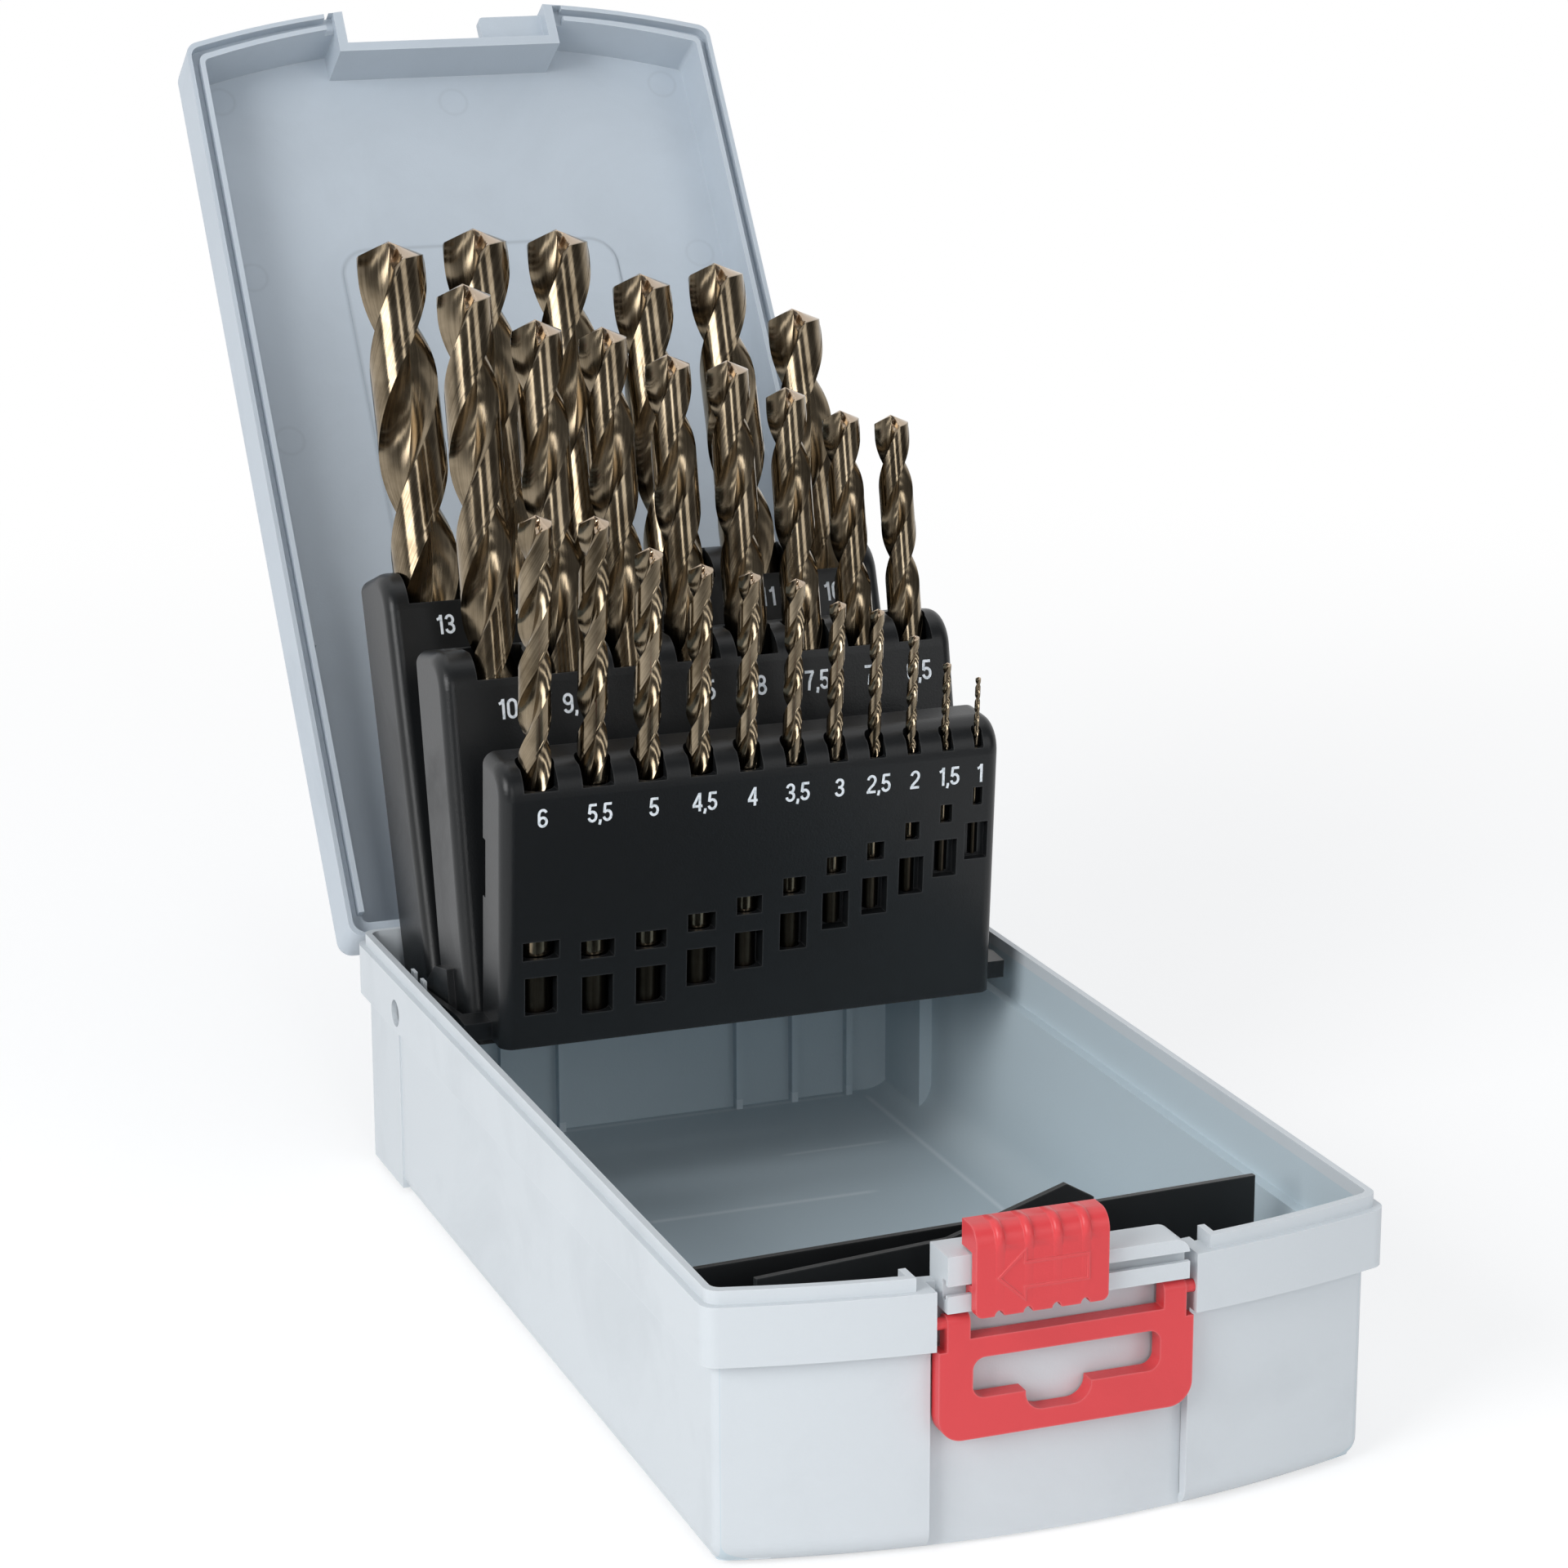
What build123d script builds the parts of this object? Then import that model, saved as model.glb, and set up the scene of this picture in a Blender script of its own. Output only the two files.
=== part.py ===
from build123d import *
from math import cos, radians, sin, tan
import os

os.makedirs("parts", exist_ok=True)

# Millimetres, +Z up. X runs across the case, Y from the latch end to the hinge,
# and the origin is the centre of the base's underside.

# Case outline, shared by the base and the lid
case_width = 115.0        # across the case
case_side = 196.0         # length of a straight side
case_bow = 8.0            # how far the latch end bows out past the sides
case_corner = 3.0         # radius of the corners seen from above
ledge_z = 44.0            # where the base ends and the lid begins
lid_depth = 14.5          # closed lid, from the ledge to its top
lid_seam = 0.1            # open seam between the closed lid and the ledge
body_gap = 0.3            # clearance between pieces that move apart
overrun = 1.0             # how far a cutting shape runs past what it cuts
case_half = case_width / 2
back_y = case_side / 2
bow_y = -back_y - case_bow

# Base tray
band_bottom_z = ledge_z - 9.7
wall_outer = 2.3          # outer face below the band, in from the outline
wall_inner = 4.3          # inner face below the band, in from the outline
wall_step_z = ledge_z - 8.0  # where the cavity widens into the band
wall_root = 2.0           # in from the outline, where a fitting ends in the wall
wall_x = case_half - wall_inner
floor_z = 2.0
foot_radius = 4.0
lip_outer = 1.1
lip_inner = 2.3
lip_top_z = ledge_z + 2.2
cove_radius = 6.8
pillar_depth = 2.6
pillar_y = (back_y - 22.0, back_y - wall_inner)
pillar_top_z = ledge_z - 12.0
rib_xs = (18.5, 30.3, 42.0)
rib_width = 1.3
rib_proud = 2.0
rib_top_z = ledge_z - 10.0

# Lid hinge
hinge_y = back_y + 1.5
hinge_z = ledge_z - 1.0
hinge_pin_radius = 1.0
hinge_hole_radius = 1.05
knuckle_radius = 2.2
knuckle_relief = 2.5
base_knuckles = ((case_half - 31.5, case_half - 25.5), (case_half - 17.5, case_half - 11.5))
lid_knuckle = (case_half - 25.2, case_half - 17.8)
base_knuckle_root = back_y - 1.5
lid_knuckle_root = back_y - 0.8
knuckle_web = 2.5
lid_open_angle = 125.0

# Rack pivots in the side walls
pivot_y = back_y - 27.2
pivot_z = ledge_z - 6.2
pivot_pin_radius = 2.5
pivot_hole_radius = 2.56
pivot_pin_outer = case_half - 1.0
boss_radius = 5.0
stop_bumps_y = ((pivot_y - 7.0, pivot_y - 4.6), (pivot_y - 0.8, pivot_y + 1.6))
stop_bump_tip = 0.6       # part of a bump that stands up inside the closed lid
stop_bump_top_z = ledge_z + 1.6

# Latch end, measured from the latch's own centre line
latch_x = -0.8
recess_half = 21.7
recess_face = 4.5         # sunk face behind the handle, in from the outline
recess_wall = 2.0
recess_root = 23.7
recess_foot_z = 0.4
cheek_half = 24.7
cheek_y = (bow_y + 1.4, bow_y + 6.3)
lip_return = (24.5, 25.7)
lip_return_y = (bow_y + 2.0, bow_y + 7.0)
lip_return_z = ledge_z - 4.0
block_half = 20.2
block_y = (bow_y + 0.7, bow_y + 7.7)
block_z = (ledge_z - 3.6, ledge_z + 3.0)
post_right = -9.0
post_top_z = ledge_z + 5.6
block_corner = 2.5
rail_mouth_z = (ledge_z - 0.8, ledge_z + 0.8)
rail_mouth_y = bow_y + 1.5
rail_slot_z = (ledge_z - 1.6, ledge_z + 1.6)
rail_slot_y = bow_y + 2.7

# Carry handle
handle_y = (bow_y + 1.2, bow_y + 4.1)
handle_axis_y = sum(handle_y) / 2
handle_axis_z = ledge_z - 5.7
handle_pin_radius = 1.0
handle_hole_radius = 1.05
handle_pin_end = 23.3
handle_upper_half = 20.0
handle_lower_half = 21.3
handle_step_z = ledge_z - 10.0
handle_gap_half = 16.2
crossbar_z = (ledge_z - 11.6, ledge_z - 8.3)
grip_half = 15.7
grip_bottom_z = ledge_z - 18.2
grip_radius = 2.0
hang_notch = (-7.7, 3.3)
hang_notch_z = ledge_z - 21.6
hang_notch_radius = 3.0
handle_bottom_z = ledge_z - 24.8
handle_corner = 4.0

# Latch slider
slider_x = (-19.7, 6.3)
slider_y = (bow_y - 2.6, bow_y + 0.4)
slider_z = (ledge_z - 3.7, ledge_z + 7.0)
slider_flange_z = (ledge_z + 5.9, ledge_z + 9.5)
slider_round = 3.0
rail_neck_z = (ledge_z - 0.55, ledge_z + 0.55)
rail_head_z = (ledge_z - 1.3, ledge_z + 1.3)
rail_head_y = (bow_y + 1.75, bow_y + 2.45)
ridge_count = 4
ridge_pitch = 2.6
ridge_width = 1.1
ridge_end_x = slider_x[1] - 2.4
ridge_proud = 0.4
ridge_bottom_z = ledge_z + 4.6
tooth_count = 4
tooth_radius = 1.1
arrow_tip = (-17.4, ledge_z + 0.4)
arrow_head = (4.6, 3.1)   # length and half height of the arrow's head
arrow_tail = (10.6, 1.5)  # length and half height behind the head
arrow_line = 0.7
arrow_depth = 0.4

# Lid
lid_top_z = ledge_z + lid_depth
lid_cavity = 3.5
lid_ceiling_z = lid_top_z - 2.0
lid_edge_radius = 3.0
notch_half = 22.1
notch_y = bow_y + 8.7
notch_wall = 2.0
groove_outer = 0.9
groove_inner = 2.5
groove_top_z = lip_top_z + 0.4
back_land_y = back_y - 5.0
pocket_gap = 0.4          # clearance round the turned-in ends of the lip
catch_tab_x = (8.3, 22.1)
catch_tab_y = bow_y + 2.0
catch_tab_z = (ledge_z + 3.3, ledge_z + 5.5)
catch_tab_corner = 1.0
panel_half = case_half - 27.5
panel_y = (-55.0, 60.0)
panel_height = 0.3
panel_corner = 6.0
side_catch_y = (27.5, 36.0)
side_catch_z = (ledge_z + 3.0, ledge_z + 7.0)
side_catch_depth = 1.2
top_recess_depth = 0.4
top_recess_edge = (15.0, 20.0)  # in from the sides and from the ends

# Twist drills, DIN 338 jobber lengths: diameter -> (overall, flute)
drill_lengths = {
    1.0: (34, 12), 1.5: (40, 18), 2.0: (49, 24), 2.5: (57, 30), 3.0: (61, 33),
    3.5: (70, 39), 4.0: (75, 43), 4.5: (80, 47), 5.0: (86, 52), 5.5: (93, 57),
    6.0: (93, 57), 6.5: (101, 63), 7.0: (109, 69), 7.5: (109, 69), 8.0: (117, 75),
    8.5: (117, 75), 9.0: (125, 81), 9.5: (125, 81), 10.0: (133, 87), 10.5: (133, 87),
    11.0: (142, 94), 11.5: (142, 94), 12.0: (151, 101), 12.5: (151, 101),
    13.0: (151, 101),
}
point_angle = 135.0
drill_seat_gap = 0.02
bore_clearance = 1.0      # bore diameter over drill diameter
notch_share = 0.9         # width of the open mouth over the bore diameter

# Side arms lie between a wall and a rack's end, the front rack's outside the others
arm_thickness = 1.2
ear_radius = 4.5
front_arm = (wall_x - body_gap - arm_thickness, wall_x - body_gap)
front_root_y = (-29.5, -24.3)
front_root_z = (5.2, 8.6)
middle_arm = (front_arm[0] - body_gap - arm_thickness, front_arm[0] - body_gap)
middle_root_y = (-16.0, -8.2)
middle_root_z = (-3.0, 9.0)
rear_half = middle_arm[0] - body_gap
rear_lug = (rear_half - 3.9, rear_half)

# Racks: drills left to right as (diameter, height of the seat). A rack's own
# frame has its origin on the pivot axis, Y through the rack, Z along the drills.
# The ends are the solid plastic beyond the first and the last drill's axis.
front_drills = (
    (6.0, 9.8), (5.5, 8.9), (5.0, 9.5), (4.5, 11.8), (4.0, 14.7), (3.5, 17.8),
    (3.0, 22.0), (2.5, 24.0), (2.0, 26.5), (1.5, 29.8), (1.0, 32.6),
)
front_rack = dict(
    lean=-4.0, y=(-35.5, -24.0), z=(5.2, 58.1), half=wall_x - 5.5, nose=6.0, wall=0.8,
    mouth_z=53.5, ends=(7.3, 4.3), drills=front_drills,
)
middle_drills = (
    (10.0, 0.1), (9.5, 0.9), (9.0, -1.2), (8.5, 1.0), (8.0, -0.8), (7.5, 1.5),
    (7.0, -3.5), (6.5, 3.0),
)
middle_rack = dict(
    lean=11.5, y=(-23.6, -7.4), z=(-4.5, 67.1), half=middle_arm[0] - 0.2, nose=7.0, wall=1.0,
    mouth_z=61.5, ends=(11.7, 7.4), drills=middle_drills,
)
rear_drills = (
    (13.0, -4.3), (12.5, -2.7), (12.0, -3.8), (11.5, -4.4), (11.0, -3.2), (10.5, -4.2),
)
rear_rack = dict(
    lean=19.2, y=(0.6, 18.1), z=(-6.5, 83.1), half=rear_half, nose=8.0, wall=1.0,
    mouth_z=76.2, ends=(10.7, 9.1), drills=rear_drills,
)
rack_end_radius = 2.4
large_window = (1.7, 8.8)
small_window = (12.2, 15.6)
window_drop = {4.0: 0.7, 3.5: 1.1, 3.0: 2.2, 2.5: 2.2, 2.0: 1.6, 1.5: 2.2, 1.0: 2.2}
rest_notch_width = 2.7    # notch in the front rack's back, near its left end
rest_notch_z = (31.0, 42.0)
rest_notch_depth = 1.5
hook_width = 2.4          # hook on the middle rack's back, near its left end
hook_z = (40.0, 44.6)
hook_reach = 2.6
hook_wall = 1.2

# Card strips standing behind the latch end
strip_thickness = 1.0
strip_seat = 0.05
strip_gap = 0.4
strip_cove_x = wall_x - cove_radius - strip_gap
strip_cove_z = floor_z + cove_radius + strip_gap
rear_strip_ends = ((strip_gap - wall_x, bow_y + 24.9), (wall_x - 7.8, bow_y + 30.1))
rear_strip_top_z = ledge_z - 0.5
front_strip_ends = ((-strip_cove_x, bow_y + 16.5), (13.0, bow_y + 22.5))
front_strip_top = (
    (0.0, ledge_z), (33.2, ledge_z + 0.5), (54.3, ledge_z + 6.0), (59.3, ledge_z + 3.0),
)


def span(x, y, z):
    """A box between two values on each axis."""
    size = Box(x[1] - x[0], y[1] - y[0], z[1] - z[0], align=(Align.MIN,) * 3)
    return Pos(x[0], y[0], z[0]) * size


def rod_x(radius, x, y, z):
    """A rod along X between two values of X."""
    rod = Cylinder(radius, x[1] - x[0], align=(Align.CENTER, Align.CENTER, Align.MIN))
    return Pos(x[0], y, z) * Rot(0, 90, 0) * rod


def both_sides(shape):
    return shape + mirror(shape, Plane.YZ)


def case_plan(inset, corner):
    """The outline of the case seen from above, moved in from the outer face."""
    half = case_half - inset
    side = back_y - inset
    sides = Polyline((-half, -side), (-half, side), (half, side), (half, -side))
    bow = ThreePointArc((-half, -side), (0, -side - case_bow), (half, -side))
    plan = make_face(sides + bow)
    return fillet(plan.vertices(), corner)


def plan_slab(inset, z, corner=case_corner):
    slab = extrude(case_plan(inset, max(corner - inset / 2, 0.8)), z[1] - z[0])
    return Pos(0, 0, z[0]) * slab


def latch_zone(half, y, z):
    """A box centred on the latch."""
    return span((latch_x - half, latch_x + half), y, z)


front_y = (bow_y - 14.0, bow_y + 16.0)
overall_z = (-overrun, lid_top_z + overrun)


# ---------------------------------------------------------------- base tray
def tray_shell():
    lower = plan_slab(wall_outer, (0, band_bottom_z))
    lower = fillet(lower.edges().group_by(Axis.Z)[0], foot_radius)
    band = plan_slab(0, (band_bottom_z, ledge_z))
    lip = plan_slab(lip_outer, (ledge_z, lip_top_z))
    cavity = plan_slab(wall_inner, (floor_z, wall_step_z))
    cavity += plan_slab(lip_inner, (wall_step_z, lip_top_z + overrun))
    return lower + band + lip - cavity


def side_cove():
    """The curved run between the floor and a side wall."""
    start_x = wall_x - cove_radius
    top_z = floor_z + cove_radius
    y = (-back_y, pillar_y[1])
    corner = span((start_x, case_half - wall_root), y, (floor_z - overrun, top_z))
    length = y[1] - y[0] + 2 * overrun
    hollow = Cylinder(cove_radius, length, align=(Align.CENTER, Align.CENTER, Align.MIN))
    return corner - Pos(start_x, y[1] + overrun, top_z) * Rot(90, 0, 0) * hollow


def tray_fittings():
    foot_z = floor_z - overrun
    wall_plan = plan_slab(wall_outer + overrun, (foot_z, wall_step_z))
    fittings = side_cove() & wall_plan
    root_x = case_half - wall_root
    pillar_root = pillar_y[1] + wall_root
    fittings += span((wall_x - pillar_depth, root_x), (pillar_y[0], pillar_root), (foot_z, pillar_top_z))
    for x in rib_xs:
        rib_x = (x - rib_width / 2, x + rib_width / 2)
        fittings += span(rib_x, (pillar_y[1] - rib_proud, pillar_root), (foot_z, rib_top_z))
    fittings += rod_x(boss_radius, (wall_x, root_x), pivot_y, pivot_z)
    for y in stop_bumps_y:
        fittings += span((wall_x, root_x), y, (pivot_z, ledge_z))
        fittings += span((wall_x, wall_x + stop_bump_tip), y, (ledge_z, stop_bump_top_z))
    return both_sides(fittings)


def base_hinge():
    knuckles = Part()
    for x in base_knuckles:
        knuckles += rod_x(knuckle_radius, x, hinge_y, hinge_z)
        knuckles += span(x, (base_knuckle_root, hinge_y), (hinge_z - knuckle_radius, hinge_z))
    return both_sides(knuckles)


def base_hinge_cuts():
    relief_x = (lid_knuckle[0] - body_gap, lid_knuckle[1] + body_gap)
    cuts = rod_x(knuckle_relief, relief_x, hinge_y, hinge_z)
    bore_x = (base_knuckles[0][0] - overrun, base_knuckles[1][1] + overrun)
    cuts += rod_x(hinge_hole_radius, bore_x, hinge_y, hinge_z)
    return both_sides(cuts)


def latch_block():
    """The raised centre block that carries the slide rail."""
    block = latch_zone(block_half, block_y, block_z)
    right_top = block.edges().filter_by(Axis.Y).sort_by(Axis.X)[-2:].sort_by(Axis.Z)[-1]
    block = fillet(right_top, block_corner)
    post_x = (latch_x - block_half, latch_x + post_right)
    block += span(post_x, block_y, (block_z[0], post_top_z))
    wide = (latch_x - block_half - overrun, latch_x + block_half + overrun)
    block -= span(wide, (block_y[0] - overrun, rail_mouth_y), rail_mouth_z)
    return block - span(wide, (rail_mouth_y, rail_slot_y), rail_slot_z)


def latch_recess(tray):
    """The sunk front with its own wall, the cheeks and the turned-in lip ends."""
    outside = latch_zone(recess_half, front_y, overall_z)
    tray -= outside - plan_slab(recess_face, overall_z)
    tray -= latch_zone(lip_return[0], front_y, (ledge_z, lip_top_z + overrun))
    wall = plan_slab(recess_face, (recess_foot_z, ledge_z))
    wall -= plan_slab(recess_face + recess_wall, overall_z)
    tray += wall & latch_zone(recess_root, front_y, overall_z)
    cheeks = latch_zone(cheek_half, cheek_y, (wall_step_z, ledge_z))
    cheeks -= latch_zone(recess_half, front_y, overall_z)
    tray += cheeks & plan_slab(0, overall_z)
    returns = latch_zone(lip_return[1], lip_return_y, (lip_return_z, lip_top_z))
    returns -= latch_zone(lip_return[0], front_y, overall_z)
    tray += returns & plan_slab(lip_outer, overall_z)
    return tray + latch_block()


def make_base_tray():
    tray = latch_recess(tray_shell() + tray_fittings()) + base_hinge()
    tray -= base_hinge_cuts()
    pin_hole = rod_x(pivot_hole_radius, (wall_x - overrun, case_half + overrun), pivot_y, pivot_z)
    tray -= both_sides(pin_hole)
    hole_end = handle_pin_end + body_gap
    holes_x = (latch_x - hole_end, latch_x + hole_end)
    trunnion_holes = rod_x(handle_hole_radius, holes_x, handle_axis_y, handle_axis_z)
    return tray - trunnion_holes


# ---------------------------------------------------------------------- lid
def lid_shell():
    outer = plan_slab(0, (ledge_z + lid_seam, lid_top_z))
    outer = fillet(outer.edges().group_by(Axis.Z)[-1], lid_edge_radius)
    hollow = plan_slab(lid_cavity, (ledge_z, lid_ceiling_z))
    hollow -= latch_zone(notch_half + notch_wall, (front_y[0], notch_y + notch_wall), overall_z)
    shell = outer - hollow
    return shell - latch_zone(notch_half, (front_y[0], notch_y), overall_z)


def lid_rim_groove():
    """The groove that fits over the base's lip, open to the inside at the back."""
    groove_z = (ledge_z, groove_top_z)
    groove = plan_slab(groove_outer, groove_z) - plan_slab(groove_inner, groove_z)
    groove -= latch_zone(notch_half + notch_wall, front_y, overall_z)
    land_half = case_half - groove_inner
    back = span((-land_half, land_half), (back_land_y, back_y - groove_outer), groove_z)
    pocket_y = (lip_return_y[0] - pocket_gap, lip_return_y[1] + pocket_gap)
    pockets = latch_zone(lip_return[1] + pocket_gap, pocket_y, groove_z)
    pockets -= latch_zone(notch_half + notch_wall, front_y, overall_z)
    return groove + back + pockets


def lid_inside():
    """The raised ceiling panel, the side catches and the latch tab."""
    inner_x = case_half - lid_cavity
    panel = RectangleRounded(2 * panel_half, panel_y[1] - panel_y[0], panel_corner)
    panel = extrude(Pos(0, sum(panel_y) / 2) * panel, panel_height + overrun)
    panel = Pos(0, 0, lid_ceiling_z - panel_height) * panel
    catch_x = (inner_x - side_catch_depth, inner_x + overrun)
    catches = both_sides(span(catch_x, side_catch_y, side_catch_z))
    tab_x = (latch_x + catch_tab_x[0], latch_x + catch_tab_x[1] + overrun)
    tab = span(tab_x, (catch_tab_y, notch_y + overrun), catch_tab_z)
    tab = fillet(tab.edges().filter_by(Axis.Z).sort_by(Axis.X)[0], catch_tab_corner)
    return panel + catches + tab


def lid_hinge():
    knuckle = rod_x(knuckle_radius, lid_knuckle, hinge_y, hinge_z)
    web_z = (ledge_z + lid_seam, ledge_z + knuckle_web)
    knuckle += span(lid_knuckle, (lid_knuckle_root, hinge_y), web_z)
    knuckle += span(lid_knuckle, (hinge_y - knuckle_radius, hinge_y), (hinge_z, web_z[0]))
    return both_sides(knuckle)


def lid_hinge_cuts():
    cuts = Part()
    for x in base_knuckles:
        cuts += rod_x(knuckle_relief, (x[0] - body_gap, x[1] + body_gap), hinge_y, hinge_z)
    keep = rod_x(knuckle_relief + overrun, lid_knuckle, hinge_y, hinge_z)
    cuts -= keep
    bore_x = (lid_knuckle[0] - overrun, lid_knuckle[1] + overrun)
    cuts += rod_x(hinge_hole_radius, bore_x, hinge_y, hinge_z)
    return both_sides(cuts)


def make_lid_closed():
    lid = lid_shell() - lid_rim_groove() + lid_inside() + lid_hinge()
    lid -= lid_hinge_cuts()
    side, end = top_recess_edge
    recess = extrude(RectangleRounded(case_width - 2 * side, case_side - 2 * end, panel_corner), overrun)
    return lid - Pos(0, 0, lid_top_z - top_recess_depth) * recess


def make_lid():
    swing = Pos(0, hinge_y, hinge_z) * Rot(-lid_open_angle, 0, 0) * Pos(0, -hinge_y, -hinge_z)
    return swing * make_lid_closed()


# -------------------------------------------------------------------- racks
def drill_xs(rack):
    """Drill positions: the space between neighbours is the same all along."""
    left_end, right_end = rack["ends"]
    sizes = [drill[0] for drill in rack["drills"]]
    steps = [(left + right) / 2 for left, right in zip(sizes, sizes[1:])]
    gap = (2 * rack["half"] - left_end - right_end - sum(steps)) / len(steps)
    xs = [left_end - rack["half"]]
    for step in steps:
        xs.append(xs[-1] + step + gap)
    return xs


def drill_y(rack, diameter):
    return rack["y"][0] + rack["wall"] + (diameter + bore_clearance) / 2


def rack_body(rack):
    """A moulded bar with a rounded top front edge and softened ends."""
    half = rack["half"]
    body = span((-half, half), rack["y"], rack["z"])
    nose = body.edges().filter_by(Axis.X).group_by(Axis.Z)[-1].sort_by(Axis.Y)[0]
    body = fillet(nose, rack["nose"])
    ends = body.edges().group_by(Axis.X)[0] + body.edges().group_by(Axis.X)[-1]
    back = rack["y"][1] - rack_end_radius
    foot = rack["z"][0] + rack_end_radius
    shown = [edge for edge in ends if edge.center().Y < back and edge.center().Z > foot]
    return fillet(shown, rack_end_radius)


def drill_pocket(rack, x, diameter, seat):
    """One bore with its open mouth at the top and two windows in the front face."""
    bore = diameter + bore_clearance
    y = drill_y(rack, diameter)
    above = rack["z"][1] + overrun
    before = rack["y"][0] - overrun
    pocket = Cylinder(bore / 2, above - seat, align=(Align.CENTER, Align.CENTER, Align.MIN))
    pocket = Pos(x, y, seat) * pocket
    mouth = bore * notch_share / 2
    pocket += span((x - mouth, x + mouth), (before, y), (rack["mouth_z"], above))
    foot = seat - window_drop.get(diameter, 0)
    wide = (4.2 + 0.3 * diameter) / 2
    large = (foot + large_window[0], foot + large_window[1])
    pocket += span((x - wide, x + wide), (before, y), large)
    narrow = (diameter + 0.85) / 2
    small = (foot + small_window[0], foot + small_window[1])
    return pocket + span((x - narrow, x + narrow), (before, y), small)


def cut_pockets(rack, body):
    for x, (diameter, seat) in zip(drill_xs(rack), rack["drills"]):
        body -= drill_pocket(rack, x, diameter, seat)
    return body


def ear_arm(x, root_y, root_z):
    """A flat arm from the rack's end back to the pivot axis."""
    outline = Polyline(
        (ear_radius * 0.35, ear_radius * 0.93), (root_y[1], root_z[1]), (root_y[0], root_z[1]),
        (root_y[0], root_z[0]), (-ear_radius * 0.35, -ear_radius * 0.93), close=True,
    )
    arm = extrude(Plane.YZ * make_face(outline), x[1] - x[0])
    arm = Pos(x[0], 0, 0) * arm
    return arm + rod_x(ear_radius, x, 0, 0)


def place_rack(rack, shape):
    return Pos(0, pivot_y, pivot_z) * Rot(-rack["lean"], 0, 0) * shape


def make_rack_front():
    body = cut_pockets(front_rack, rack_body(front_rack))
    left = -front_rack["half"]
    back = front_rack["y"][1]
    notch_y = (back - rest_notch_depth, back + overrun)
    body -= span((left - overrun, left + rest_notch_width - overrun), notch_y, rest_notch_z)
    return place_rack(front_rack, body)


def make_rack_middle():
    body = cut_pockets(middle_rack, rack_body(middle_rack))
    left = overrun - middle_rack["half"]
    back = middle_rack["y"][1]
    hook = span((left, left + hook_width), (back, back + hook_reach), hook_z)
    gap_y = (back, back + hook_reach - hook_wall)
    gap_z = (hook_z[0] + hook_wall, hook_z[1] - hook_wall)
    hook -= span((left - overrun, left + hook_width + overrun), gap_y, gap_z)
    return place_rack(middle_rack, body + hook)


def make_rack_rear():
    body = cut_pockets(rear_rack, rack_body(rear_rack))
    hole_x = (rear_lug[0] - body_gap, rear_half + overrun)
    return place_rack(rear_rack, body - both_sides(rod_x(pivot_hole_radius, hole_x, 0, 0)))


def pivot_hole(x):
    return rod_x(pivot_hole_radius, (x[0] - overrun, x[1] + overrun), 0, 0)


def side_arm(rack, x, root_y, root_z):
    """A flat arm at the right-hand end of a rack, with the pad that joins them."""
    pad = span((rack["half"], x[1]), root_y, root_z)
    return ear_arm(x, root_y, root_z) + pad - pivot_hole(x)


def make_rear_lug():
    """The pivot lug in front of the rear rack's right-hand end."""
    front = rear_rack["y"][0]
    lug = rod_x(ear_radius, rear_lug, 0, 0)
    lug += span(rear_lug, (0, front), (-ear_radius, ear_radius))
    lug -= span(rear_lug, (front, ear_radius + overrun), (-ear_radius, ear_radius))
    return lug - pivot_hole(rear_lug)


# ------------------------------------------------------------------- drills
def twist_drill(diameter):
    """A straight shank ending in a cone point."""
    overall = drill_lengths[diameter][0]
    radius = diameter / 2
    point = radius / tan(radians(point_angle / 2))
    profile = Polyline((0, 0), (radius, 0), (radius, overall - point), (0, overall), close=True)
    return revolve(Plane.XZ * make_face(profile), Axis.Z)


def write_drills(rack):
    for x, (diameter, seat) in zip(drill_xs(rack), rack["drills"]):
        spot = Pos(x, drill_y(rack, diameter), seat + drill_seat_gap)
        name = "drill_%04.1f" % diameter
        write(place_rack(rack, spot * twist_drill(diameter)), name.replace(".", "_"))


# ------------------------------------------------------- latch and handle
def slider_rail():
    neck = span(slider_x, (slider_y[1] - overrun, rail_head_y[0]), rail_neck_z)
    return neck + span(slider_x, rail_head_y, rail_head_z)


def slider_ridges():
    """Short grip ridges that wrap over the top front edge."""
    ridges = Part()
    for i in range(ridge_count):
        right = ridge_end_x - i * ridge_pitch
        x = (right - ridge_width, right)
        ridges += span(x, slider_y, (ridge_bottom_z, slider_flange_z[1]))
        ridges += span(x, (slider_y[0], slider_y[0] + 2 * slider_round), slider_flange_z)
    return round_top(ridges, slider_round)


def arrow_outline(line):
    """A left-pointing arrow, smaller all round by the width of a line."""
    tip_x, mid_z = arrow_tip
    head_x = tip_x + arrow_head[0]
    end_x = head_x + arrow_tail[0]
    head_half = arrow_head[1] - line * 1.4
    tail_half = arrow_tail[1] - line
    return make_face(Polyline(
        (tip_x + line * 1.8, mid_z), (head_x - line, mid_z + head_half), (head_x - line, mid_z + tail_half),
        (end_x - line, mid_z + tail_half), (end_x - line, mid_z - tail_half),
        (head_x - line, mid_z - tail_half), (head_x - line, mid_z - head_half), close=True,
    ))


def slider_cuts():
    """The scalloped lower edge and the engraved outline of an arrow."""
    cuts = Part()
    pitch = (slider_x[1] - slider_x[0]) / tooth_count
    for i in range(tooth_count - 1):
        x = slider_x[0] + pitch * (i + 1)
        tooth = Cylinder(tooth_radius, 3 * (slider_y[1] - slider_y[0]))
        cuts += Pos(x, slider_y[0], slider_z[0]) * Rot(90, 0, 0) * tooth
    arrow = extrude(Plane.XZ * (arrow_outline(0) - arrow_outline(arrow_line)), overrun)
    return cuts + Pos(0, slider_y[0] + arrow_depth, 0) * arrow


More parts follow.
